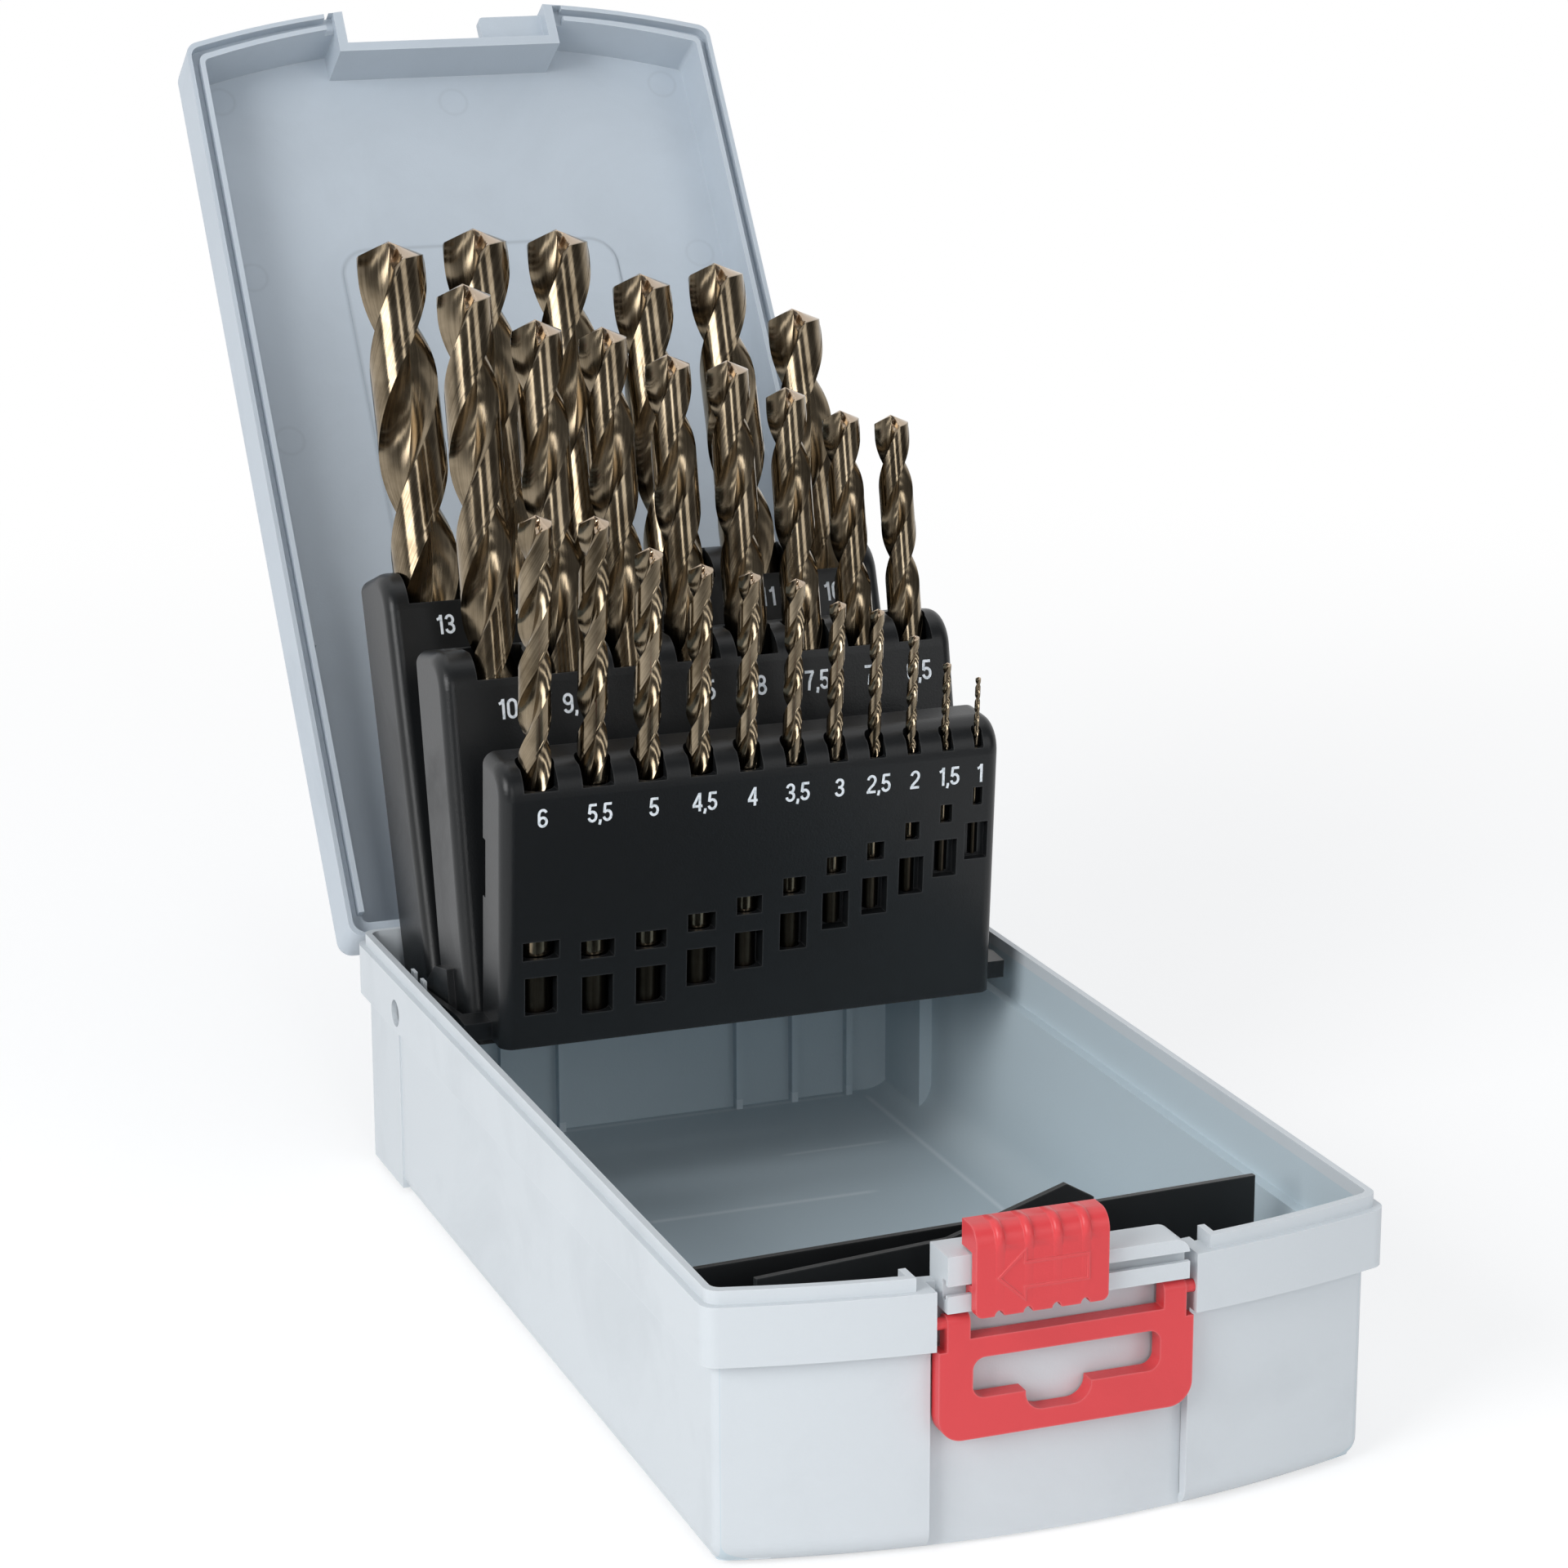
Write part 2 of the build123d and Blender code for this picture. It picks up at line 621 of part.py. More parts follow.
def round_top(shape, radius):
    """Round the top front edge of a shape that runs along X."""
    return fillet(shape.edges().filter_by(Axis.X).group_by(Axis.Z)[-1].group_by(Axis.Y)[0], radius)


def make_latch_slider():
    inner_y = slider_y[0] + ridge_proud
    top_z = slider_flange_z[1] - ridge_proud
    plate = span(slider_x, (inner_y, slider_y[1]), (slider_z[0], top_z))
    flange = span(slider_x, (inner_y, block_y[1]), (slider_flange_z[0], top_z))
    slider = round_top(plate + flange, slider_round - ridge_proud)
    return slider + slider_ridges() - slider_cuts() + slider_rail()


def handle_plate():
    """The flat handle with its grip opening and hang-hole notch."""
    top_z = handle_axis_z + (handle_y[1] - handle_y[0]) / 2
    lower = (handle_bottom_z, handle_step_z)
    plate = latch_zone(handle_lower_half, handle_y, lower)
    corners = plate.edges().filter_by(Axis.Y).group_by(Axis.Z)[0]
    plate = fillet(corners, handle_corner)
    plate += latch_zone(handle_upper_half, handle_y, (handle_step_z - overrun, top_z))
    open_y = (handle_y[0] - overrun, handle_y[1] + overrun)
    plate -= latch_zone(handle_gap_half, open_y, (crossbar_z[1], top_z + overrun))
    grip = latch_zone(grip_half, open_y, (grip_bottom_z, crossbar_z[0]))
    notch = span(hang_notch, open_y, (hang_notch_z, grip_bottom_z + overrun))
    notch = fillet(notch.edges().filter_by(Axis.Y).group_by(Axis.Z)[0], hang_notch_radius)
    return plate - (fillet(grip.edges().filter_by(Axis.Y), grip_radius) + notch)


def make_carry_handle():
    plate = handle_plate()
    tops = plate.edges().filter_by(Axis.X).group_by(Axis.Z)[-1]
    plate = fillet(tops, (handle_y[1] - handle_y[0]) / 2 - 0.05)
    pin_root = handle_gap_half + overrun
    for left, right in ((-handle_pin_end, -pin_root), (pin_root, handle_pin_end)):
        trunnion_x = (latch_x + left, latch_x + right)
        plate += rod_x(handle_pin_radius, trunnion_x, handle_axis_y, handle_axis_z)
    return plate


# ------------------------------------------------------------------- strips
def strip(ends, outline):
    """A thin upright strip from one plan point to another."""
    (x0, y0), (x1, y1) = ends
    direction = Vector(x1 - x0, y1 - y0, 0)
    plane = Plane(origin=(x0, y0, 0), x_dir=direction, z_dir=direction.cross(Vector(0, 0, 1)))
    return extrude(plane * make_face(Polyline(*outline, close=True)), strip_thickness / 2, both=True)


def make_insert_strip_rear():
    (x0, y0), (x1, y1) = rear_strip_ends
    length = Vector(x1 - x0, y1 - y0, 0).length
    cove = -strip_cove_x - x0
    foot = floor_z + strip_seat
    top = rear_strip_top_z
    outline = (
        (cove, foot), (length, foot), (length, top), (0, top), (0, strip_cove_z),
        (cove, strip_cove_z),
    )
    return strip(rear_strip_ends, outline)


def make_insert_strip_front():
    foot = floor_z + strip_seat
    end = front_strip_top[-1][0]
    outline = ((0, foot), (end, foot)) + tuple(reversed(front_strip_top))
    return strip(front_strip_ends, outline)


# ------------------------------------------------------------------- output
def write(shape, name):
    export_step(shape, "parts/" + name + ".step")


def write_pins():
    for side, name in ((-1, "left"), (1, "right")):
        hinge_x = sorted((side * base_knuckles[0][0], side * base_knuckles[1][1]))
        write(rod_x(hinge_pin_radius, hinge_x, hinge_y, hinge_z), "hinge_pin_" + name)
        pivot_x = sorted((side * rear_lug[0], side * pivot_pin_outer))
        write(rod_x(pivot_pin_radius, pivot_x, pivot_y, pivot_z), "rack_pivot_pin_" + name)


def write_arms(rack, shape, name):
    """One piece for each end of a rack, from the right-hand one."""
    write(place_rack(rack, shape), name + "_right")
    write(place_rack(rack, mirror(shape, Plane.YZ)), name + "_left")


write(make_base_tray(), "base_tray")
write(make_lid(), "lid")
write(make_rack_front(), "rack_front")
write(make_rack_middle(), "rack_middle")
write(make_rack_rear(), "rack_rear")
write_arms(front_rack, side_arm(front_rack, front_arm, front_root_y, front_root_z), "rack_front_arm")
write_arms(middle_rack, side_arm(middle_rack, middle_arm, middle_root_y, middle_root_z), "rack_middle_arm")
write_arms(rear_rack, make_rear_lug(), "rack_rear_lug")
write(make_latch_slider(), "latch_slider")
write(make_carry_handle(), "carry_handle")
write(make_insert_strip_rear(), "insert_strip_rear")
write(make_insert_strip_front(), "insert_strip_front")
write_pins()
for each_rack in (front_rack, middle_rack, rear_rack):
    write_drills(each_rack)
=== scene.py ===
import bmesh
import bpy
import math
from mathutils import Matrix, Vector


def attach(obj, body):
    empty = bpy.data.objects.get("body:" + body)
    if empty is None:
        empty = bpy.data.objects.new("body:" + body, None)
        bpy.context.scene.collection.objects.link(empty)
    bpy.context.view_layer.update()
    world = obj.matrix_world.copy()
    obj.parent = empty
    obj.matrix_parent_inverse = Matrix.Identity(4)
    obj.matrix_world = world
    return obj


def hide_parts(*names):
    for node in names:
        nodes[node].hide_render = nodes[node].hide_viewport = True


# %% [markdown]
# # A drill bit case, dressed
#
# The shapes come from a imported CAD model, which stays where it is.
# This lesson gives every part a moulded or ground finish,
# swaps the plain drill solids for real twist drills with flutes,
# and prints the sizes on the racks.
#
# Everything is in metres, with +Z up and the case standing on z = 0.

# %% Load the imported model
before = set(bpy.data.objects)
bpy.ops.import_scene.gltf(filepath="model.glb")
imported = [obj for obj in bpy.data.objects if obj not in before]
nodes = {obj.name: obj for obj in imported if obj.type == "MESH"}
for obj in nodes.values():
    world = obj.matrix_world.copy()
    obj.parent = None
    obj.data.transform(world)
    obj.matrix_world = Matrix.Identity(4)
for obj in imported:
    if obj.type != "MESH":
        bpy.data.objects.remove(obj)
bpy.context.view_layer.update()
MM = 0.001
bpy.context.scene.view_settings.view_transform = "Standard"


def in_mm(values):
    return [round(value / MM, 1) for value in values]


print("CAD nodes:", len(nodes))


# %% [markdown]
# ## A short way to write node trees
#
# A node graph is easier to read as arithmetic.
# `Value` wraps a socket, so that `a * b + 1` adds the Math nodes and links them.
# `Graph` adds any other node and returns the socket that is asked for.
# Both serve the materials, the world and the Geometry Nodes.

# %% Value, a socket with arithmetic
class Value:
    """A socket that takes part in arithmetic."""

    def __init__(self, graph, socket):
        self.graph = graph
        self.socket = socket

    def __add__(self, other):
        return self.graph.math("ADD", self, other)

    def __sub__(self, other):
        return self.graph.math("SUBTRACT", self, other)

    def __mul__(self, other):
        return self.graph.math("MULTIPLY", self, other)

    def __truediv__(self, other):
        return self.graph.math("DIVIDE", self, other)

    def __radd__(self, other):
        return self.graph.math("ADD", other, self)

    def __rsub__(self, other):
        return self.graph.math("SUBTRACT", other, self)

    def __rtruediv__(self, other):
        return self.graph.math("DIVIDE", other, self)

    def __abs__(self):
        return self.graph.math("ABSOLUTE", self)

    def at_least(self, other):
        return self.graph.math("MAXIMUM", self, other)

    def at_most(self, other):
        return self.graph.math("MINIMUM", self, other)


def strongest(masks):
    total = masks[0]
    for mask in masks[1:]:
        total = total.at_least(mask)
    return total


# %% Graph, a tree that grows by calls
class Graph:
    """Adds nodes to one tree. A plain number sets a socket, a Value links to it."""

    def __init__(self, tree):
        self.tree = tree

    def put(self, socket, value):
        if isinstance(value, Value):
            self.tree.links.new(value.socket, socket)
        elif value is not None:
            socket.default_value = value

    def fill(self, made, sockets):
        """Sets or links several sockets of a node, by name or number."""
        for key, value in sockets.items():
            self.put(made.inputs[key], value)

    def node(self, kind, sockets=None, **settings):
        made = self.tree.nodes.new(kind)
        for name, value in settings.items():
            setattr(made, name, value)
        self.fill(made, sockets or {})
        return made

    def get(self, kind, out, sockets=None, **settings):
        return Value(self, self.node(kind, sockets, **settings).outputs[out])

    def math(self, operation, *values):
        return self.get("ShaderNodeMath", 0, dict(enumerate(values)), operation=operation)

    def remap(self, value, low, high, to_low=0.0, to_high=1.0, smooth=False):
        """Carries the stretch from low to high over to another one, and stops at its ends."""
        kind = "SMOOTHSTEP" if smooth else "LINEAR"
        sockets = {"Value": value, "From Min": low, "From Max": high, "To Min": to_low, "To Max": to_high}
        return self.get("ShaderNodeMapRange", "Result", sockets, interpolation_type=kind)

    def blend(self, share, first, second):
        """A colour mix. Each colour is three numbers or a Value."""
        made = self.node("ShaderNodeMix", data_type="RGBA")
        self.put(made.inputs["Factor"], share)
        for label, colour in (("A", first), ("B", second)):
            self.put(made.inputs[label], colour if isinstance(colour, Value) else (*colour, 1))
        return Value(self, made.outputs["Result"])

    def inputs(self):
        """The inputs of the group that this tree is, by name."""
        given = self.node("NodeGroupInput")
        return {socket.name: Value(self, socket) for socket in given.outputs if socket.name}

    def place(self):
        """Object coordinates, which are metres here."""
        return self.get("ShaderNodeTexCoord", "Object")

    def noise(self, place, scale, **sockets):
        return self.get("ShaderNodeTexNoise", "Fac", {"Vector": place, "Scale": scale, **sockets})

    def parts(self, vector):
        """The X, Y and Z of a vector."""
        made = self.node("ShaderNodeSeparateXYZ", {"Vector": vector})
        return [Value(self, made.outputs[axis]) for axis in "XYZ"]


# %% An empty group with named sockets
def new_group(name, inputs, outputs, kind="ShaderNodeTree"):
    group = bpy.data.node_groups.new(name, kind)
    for label, holds, value in inputs:
        socket = group.interface.new_socket(label, in_out="INPUT", socket_type="NodeSocket" + holds)
        if value is not None:
            socket.default_value = value
    for label, holds in outputs:
        group.interface.new_socket(label, in_out="OUTPUT", socket_type="NodeSocket" + holds)
    return group


# %% A new material
def new_material(name, colour=None):
    """A material, its graph and its shader. The colour is the one that the solid view shows."""
    material = bpy.data.materials.new(name)
    material.use_nodes = True
    if colour:
        material.diffuse_color = (*colour, 1)
    graph = Graph(material.node_tree)
    return material, graph, graph.tree.nodes["Principled BSDF"]


def grey(share):
    return (share, share, share, 1)


# %% A new object
def new_object(name, data):
    made = bpy.data.objects.new(name, data)
    bpy.context.collection.objects.link(made)
    return made


print("helpers: Value, Graph, new_group, new_material, new_object")

# %% [markdown]
# ## The camera
#
# The camera looks at the latch end from the left, from higher than the open lid.
# Its lens is long, so near and far parts keep nearly the same scale.

# %% Camera
AZIMUTH = math.radians(-20.53)
ELEVATION = math.radians(15.40)
ROLL = math.radians(-0.24)
CAMERA_PLACE = Vector((-248.65, -633.21, 279.78)) * MM
SENSOR_WIDTH = 36
LENS_LENGTH = 94.27
LENS_SHIFT = (0.01604, 0.00684)


def camera_axes(azimuth, elevation, roll):
    """The camera's right, up and backward directions."""
    flat = math.cos(elevation)
    back = Vector((math.sin(azimuth) * flat, -math.cos(azimuth) * flat, math.sin(elevation)))
    right = Vector((math.cos(azimuth), math.sin(azimuth), 0))
    up = right.cross(-back)
    turned_right = right * math.cos(roll) + up * math.sin(roll)
    turned_up = up * math.cos(roll) - right * math.sin(roll)
    return turned_right, turned_up, back


camera_data = bpy.data.cameras.new("camera")
camera_data.sensor_width = SENSOR_WIDTH
camera_data.lens = LENS_LENGTH
camera_data.shift_x, camera_data.shift_y = LENS_SHIFT
camera_data.clip_start = 0.05
camera_data.clip_end = 20
camera = new_object("camera", camera_data)
turn = Matrix(camera_axes(AZIMUTH, ELEVATION, ROLL)).transposed().to_4x4()
camera.matrix_world = Matrix.Translation(CAMERA_PLACE) @ turn
bpy.context.scene.camera = camera
print("camera in mm:", in_mm(camera.matrix_world.translation))

# %% [markdown]
# ## The studio
#
# A small product shows best on a white sweep under large soft lamps.
# The sweep is a flat sheet here. Close to the case it is matte paper that keeps the shadow,
# and it brightens into plain white further out, where a camera or a shiny surface sees it.
# The world is that same white behind the case. On the side where the camera stands
# a shiny surface sees a dimmer room, which gives the metal its contrast.

# %% White paper
LIGHT_PAPER = 0.86
SEEN_PAPER = 0.50
PAPER_GLOW = 0.60
DIM_PAPER = 0.20
WHITE_REACH = (0.25, 0.75)
LIT_BACK = (-0.45, -0.05)


def white_for(graph):
    """Two masks: a ray that sees the background at all, and one that comes from the camera."""
    path = graph.node("ShaderNodeLightPath")
    seen = [Value(graph, path.outputs[f"Is {kind} Ray"]) for kind in ("Camera", "Glossy", "Transmission")]
    return strongest(seen), seen[0]


def floor_material():
    material, graph, _ = new_material("floor_white")
    graph.tree.nodes.clear()
    place = graph.place()
    reach = graph.get("ShaderNodeVectorMath", "Value", {0: place}, operation="LENGTH")
    far = graph.remap(reach, *WHITE_REACH, smooth=True)
    matte = graph.get("ShaderNodeBsdfDiffuse", 0, {"Color": grey(LIGHT_PAPER)})
    paper = graph.get("ShaderNodeBsdfDiffuse", 0, {"Color": grey(SEEN_PAPER)})
    glow = graph.get("ShaderNodeEmission", 0, {"Color": grey(1), "Strength": PAPER_GLOW})
    near = graph.get("ShaderNodeAddShader", 0, {0: paper, 1: glow})
    white = graph.get("ShaderNodeEmission", 0, {"Color": grey(1), "Strength": 1.0})
    sweep = graph.get("ShaderNodeMixShader", 0, {0: far, 1: near, 2: white})
    seen, by_camera = white_for(graph)
    shade = graph.get("ShaderNodeBsdfDiffuse", 0, {"Color": grey(DIM_PAPER)})
    _, back, _ = graph.parts(place)
    lit = by_camera.at_least(graph.remap(back, *LIT_BACK, smooth=True))
    shown = graph.get("ShaderNodeMixShader", 0, {0: lit, 1: shade, 2: sweep})
    mixed = graph.get("ShaderNodeMixShader", 0, {0: seen, 1: matte, 2: shown})
    graph.node("ShaderNodeOutputMaterial", {"Surface": mixed})
    return material


# %% Floor
FLOOR_HALF = 3.0
FLOOR_DROP = 0.0002


def make_floor():
    mesh = bpy.data.meshes.new("floor")
    signs = ((-1, -1), (1, -1), (1, 1), (-1, 1))
    corners = [(x * FLOOR_HALF, y * FLOOR_HALF, -FLOOR_DROP) for x, y in signs]
    mesh.from_pydata(corners, [], [(0, 1, 2, 3)])
    mesh.materials.append(floor_material())
    new_object("floor", mesh)


make_floor()
print("floor:", 2 * FLOOR_HALF, "m across")

# %% World
ROOM_DIM = 0.12
ROOM_TURN = (-0.35, 0.30)
SKY_LIGHT = 0.49
SKY_COLOUR = (0.93, 0.96, 1.0, 1)


def make_world():
    world = bpy.data.worlds.new("studio")
    world.use_nodes = True
    bpy.context.scene.world = world
    graph = Graph(world.node_tree)
    graph.tree.nodes.clear()
    seen, by_camera = white_for(graph)
    _, forward, _ = graph.parts(graph.get("ShaderNodeTexCoord", "Generated"))
    room = graph.remap(forward, *ROOM_TURN, ROOM_DIM, 1.0, smooth=True)
    strength = by_camera.at_least(room)
    white = graph.get("ShaderNodeBackground", 0, {"Color": grey(1), "Strength": strength})
    dim = graph.get("ShaderNodeBackground", 0, {"Color": SKY_COLOUR, "Strength": SKY_LIGHT})
    mixed = graph.get("ShaderNodeMixShader", 0, {0: seen, 1: dim, 2: white})
    graph.node("ShaderNodeOutputWorld", {"Surface": mixed})


make_world()
print("world light:", SKY_LIGHT)


# %% [markdown]
# ## Lamps
#
# Three wide lamps light the case: a strong one on the left,
# and weaker ones at the front right and above.
# They are large, so shadows stay soft, and weak enough that the pale plastic keeps its colour.
# A tall narrow lamp in front adds little light, but every round drill shows it as a bright line.

# %% Lamps
def make_lamp(name, place, target, size, power):
    data = bpy.data.lights.new(name, "AREA")
    data.shape = "RECTANGLE"
    data.size, data.size_y = size
    data.energy = power
    lamp = new_object(name, data)
    lamp.location = place
    lamp.rotation_mode = "QUATERNION"
    lamp.rotation_quaternion = (Vector(target) - Vector(place)).to_track_quat("-Z", "Y")


CASE_MIDDLE = (0, 0.02, 0.08)
DRILL_TIPS = (0, 0, 0.12)
# each lamp: its name, its place, what it points at, its width and height, and its power
LAMPS = (
    ("key", (-1.3, -0.65, 0.75), CASE_MIDDLE, (0.8, 0.8), 14.2),
    ("front", (0.75, -1.2, 0.55), CASE_MIDDLE, (0.5, 0.9), 2.4),
    ("top", (0.1, 0.1, 1.5), CASE_MIDDLE, (1.2, 1.2), 2.2),
    ("strip", (-0.18, -1.29, 0.42), DRILL_TIPS, (0.20, 1.0), 2.4),
)
for lamp in LAMPS:
    make_lamp(*lamp)
print("lamps:", [name for name, *_ in LAMPS])

# %% [markdown]
# ## Shared surface effects
#
# Three effects come back in most finishes, so each is a node group:
# - `mould_grain`: the fine texture that a spark-eroded mould leaves, as a bump.
# - `handling`: faint smudges and dust from use, which change colour and gloss.
# - `soft_edges`: a mask of the corners, where a painted highlight makes them lighter than the faces beside
#   them.
#   It compares the true normal with the one that the Bevel node rounds off.


# %% Mould grain
WAVE_SCALE = 38.0
WAVE_SHARE = 0.8
GRAIN_DEPTH = 0.0002


def mould_grain_group():
    """A normal from two bumps: the fine grain, and the slow waves of a moulded wall."""
    inputs = (("Grain Size", "Float", 2600.0), ("Depth", "Float", 0.1))
    group = new_group("mould_grain", inputs, (("Normal", "Vector"),))
    graph = Graph(group)
    given = graph.inputs()
    place = graph.place()
    fine = graph.noise(place, given["Grain Size"], Detail=2.0)
    coarse = graph.noise(place, WAVE_SCALE, Detail=3.0)
    sockets = {"Strength": given["Depth"], "Distance": GRAIN_DEPTH, "Height": fine + coarse * WAVE_SHARE}
    graph.node("NodeGroupOutput", {"Normal": graph.get("ShaderNodeBump", "Normal", sockets)})
    return group


# %% Handling marks
SMUDGE_CLOUD = (0.48, 0.72)


def handling_group():
    """Smudges: 0 where the surface is clean, up to 1 in a mark."""
    group = new_group("handling", (("Scale", "Float", 30.0),), (("Marks", "Float"),))
    graph = Graph(group)
    scale = graph.inputs()["Scale"]
    cloud = graph.noise(graph.place(), scale, Detail=6.0, Roughness=0.6, Distortion=0.6)
    graph.node("NodeGroupOutput", {"Marks": graph.remap(cloud, *SMUDGE_CLOUD)})
    return group


# %% Soft edges
NORMALS_AGREE = (0.98, 0.75)


def edge_group():
    """1 on a corner, 0 on a flat face."""
    group = new_group("soft_edges", (("Radius", "Float", 0.0005),), (("Edge", "Float"),))
    graph = Graph(group)
    rounded = graph.get("ShaderNodeBevel", "Normal", {"Radius": graph.inputs()["Radius"]}, samples=4)
    real = graph.get("ShaderNodeNewGeometry", "Normal")
    agree = graph.get("ShaderNodeVectorMath", "Value", {0: rounded, 1: real}, operation="DOT_PRODUCT")
    graph.node("NodeGroupOutput", {"Edge": graph.remap(agree, *NORMALS_AGREE)})
    return group


GROUPS = {"grain": mould_grain_group(), "handling": handling_group(), "edges": edge_group()}
print("groups:", [g.name for g in GROUPS.values()])

# %% [markdown]
# ## Mould marks
#
# Three of the mould's own traces show on the pale parts.
# An ejector pin leaves a faint ring on the inside of the lid,
# a shallow step borders the flat panel there,
# and thin weld lines run over the tray's floor where the plastic met.
# They are too shallow to be modelled, so each is a mask from Object coordinates,
# the distance from a point, a rounded rectangle or a line.
# The ring and the step are painted darker, a painted shade along their edges,
# and the weld lines are painted lighter, a painted highlight on their low ridges.
# The tray's inside is painted darker and cooler than its outside, a painted shade, and a mask says where
# that starts.

# %% Ring and line masks
RING_RADIUS = 0.003
RING_SOFT = 0.0006
LINE_FADE = 0.003
FLOOR_RISE = (0.001, 0.004)


def ring_mark(graph, place, centre):
    """A soft ring round a point: 1 on the ring and 0 away from it."""
    spot = graph.get("ShaderNodeVectorMath", "Value", {0: place, 1: centre}, operation="DISTANCE")
    return graph.remap(abs(spot - RING_RADIUS), 0.0, RING_SOFT, 1.0, 0.0, smooth=True)


def between(graph, value, low, high):
    """1 where a value lies between two limits, 0 elsewhere."""
    return graph.math("LESS_THAN", value, high) * graph.math("GREATER_THAN", value, low)


def line_mark(graph, place, spot, low, high, width, lengthwise=False):
    """A soft line on the floor, across it or lengthwise: 1 on the line, fading at its ends."""
    along, across, height = graph.parts(place)
    if lengthwise:
        along, across = across, along
    on = graph.remap(abs(across - spot), 0.0, width, 1.0, 0.0, smooth=True)
    begun = graph.remap(along, low - LINE_FADE, low)
    going = graph.remap(along, high, high + LINE_FADE, 1.0, 0.0)
    return on * (begun * going) * between(graph, height, *FLOOR_RISE)


# %% The tray's inside
STEP_RISE = (0.0352, 0.0362)
STEP_HALVES = (0.0542, 0.0563)
INSIDE_ENDS = (-0.096, 0.0947)
INSIDE_RISE = (0.001, 0.044)


# This mask says where the tray's inside gets its painted shade.
def inside_tray(graph, place):
    """1 on the faces that look into the tray, which widens at a step, 0 on its outside and rim."""
    x, y, z = graph.parts(place)
    half = graph.remap(z, *STEP_RISE, *STEP_HALVES)
    sides = graph.math("LESS_THAN", abs(x), half)
    return sides * between(graph, y, *INSIDE_ENDS) * between(graph, z, *INSIDE_RISE)


# %% The open lid's ceiling
LID_TURN = math.radians(125)
LID_AXIS = (99.5, 43.0)
LID_INSIDE = 56.5
NEAR_PANEL = 0.6


def in_open_lid(x, y):
    """A point on the lid's ceiling, taken from the closed case to the open lid, in metres."""
    back, up = y - LID_AXIS[0], LID_INSIDE - LID_AXIS[1]
    c, s = math.cos(LID_TURN), math.sin(LID_TURN)
    return Vector((x, LID_AXIS[0] + back * c + up * s, LID_AXIS[1] - back * s + up * c)) * MM


def panel_edge(graph, place, half, low, high, corner, width):
    """1 on the edge of the flat panel inside the lid, a rectangle with round corners, in mm.

    Its half width, ends, corners and line width are given as they lie in the closed case.
    """
    x, y, z = graph.parts(place)
    out, lift = y / MM - LID_AXIS[0], z / MM - LID_AXIS[1]
    c, s = math.cos(LID_TURN), math.sin(LID_TURN)
    along, up = out * c - lift * s, out * s + lift * c
    past_x = abs(x / MM) - (half - corner)
    past_y = abs(along + LID_AXIS[0] - (low + high) / 2) - ((high - low) / 2 - corner)
    far_x, far_y = past_x.at_least(0.0), past_y.at_least(0.0)
    near = past_x.at_least(past_y).at_most(0.0)
    off = graph.math("SQRT", far_x * far_x + far_y * far_y) + near - corner
    line = graph.remap(abs(off), 0.0, width, 1.0, 0.0, smooth=True)
    height = abs(up - (LID_INSIDE - LID_AXIS[1]))
    return line * graph.math("LESS_THAN", height, NEAR_PANEL)


print("the lid's ceiling lies at, in mm:", in_mm(in_open_lid(0, 0)))

# %% [markdown]
# ## Moulded plastic
#
# Every plastic part here is injection moulded, so one function makes them all.
# What differs is the colour, the gloss, how much the grain shows,
# how bright the painted highlight on the corners is, and the mould marks.

# %% Plastics
MARK_SHOWS = 0.5
MARK_DULLS = 0.1
# the panel's step and the rings are painted darker as painted shade, the weld lines lighter as a painted
# highlight
PANEL_SHADE = 0.80
RING_SHADE = 0.86
WELD_HIGHLIGHT_GAIN = 1.35


def plastic(name, colour, roughness, grain=0.12, edge_highlight=0.12, mark_dark=0.06, specular=0.5,
            rings=(), lines=(), inside_shade=None, panel=None):
    material, graph, shader = new_material(name, colour)

    def effect(key, out, sockets=None):
        return graph.get("ShaderNodeGroup", out, sockets, node_tree=GROUPS[key])

    normal = effect("grain", "Normal", {"Depth": grain})
    marks = effect("handling", "Marks")
    edge = effect("edges", "Edge")
    dark = [c * (1 - mark_dark) for c in colour]
    # the corners get a painted highlight
    light = [min(1, c + edge_highlight * (1 - c)) for c in colour]
    finish = graph.blend(marks, colour, dark)
    finish = graph.blend(edge, finish, light)
    place = graph.place()
    # painted shade: the tray's inside is darker and cooler
    if inside_shade:
        finish = graph.blend(inside_tray(graph, place), finish, inside_shade)
    # painted shade along the step round the panel
    if panel:
        border = panel_edge(graph, place, *panel)
        finish = graph.blend(border, finish, [c * PANEL_SHADE for c in colour])
    # painted shade in the ejector rings
    if rings:
        mask = strongest([ring_mark(graph, place, centre) for centre in rings])
        finish = graph.blend(mask * MARK_SHOWS, finish, [c * RING_SHADE for c in colour])
    # painted highlight on the weld lines
    if lines:
        mask = strongest([line_mark(graph, place, *line) for line in lines])
        finish = graph.blend(mask * MARK_SHOWS, finish, [min(1, c * WELD_HIGHLIGHT_GAIN) for c in colour])
    dulled = graph.remap(marks, 0.0, 1.0, roughness, roughness + MARK_DULLS)
    sockets = {"Base Color": finish, "Roughness": dulled, "Normal": normal, "Specular IOR Level": specular}
    graph.fill(shader, sockets)
    return material


# %% Where the mould marks lie
EJECTORS = (
    (-49.05, -91.35), (1.3, -89.05), (-49.13, -50.14),
    (-47.89, -12.77), (49.0, -91.35), (49.0, -50.1),
)
RINGS = [in_open_lid(x, y) for x, y in EJECTORS]
# each weld line, painted lighter as a painted highlight: where it lies, its two ends and its width, and
# True if it runs lengthwise
WELD_HIGHLIGHTS = (
    (0.0398, -0.0175, 0.0248, 0.0012),
    (0.064, 0.019, 0.037, 0.0010),
    (0.092, -0.040, 0.040, 0.0012),
    (0.045, -0.070, 0.088, 0.0010, True),
)
# the panel's half width, its two ends, its corners and the width of its edge
LID_PANEL = (30, -55, 60, 6, 0.8)
print("ejector rings:", len(RINGS), "weld lines:", len(WELD_HIGHLIGHTS))
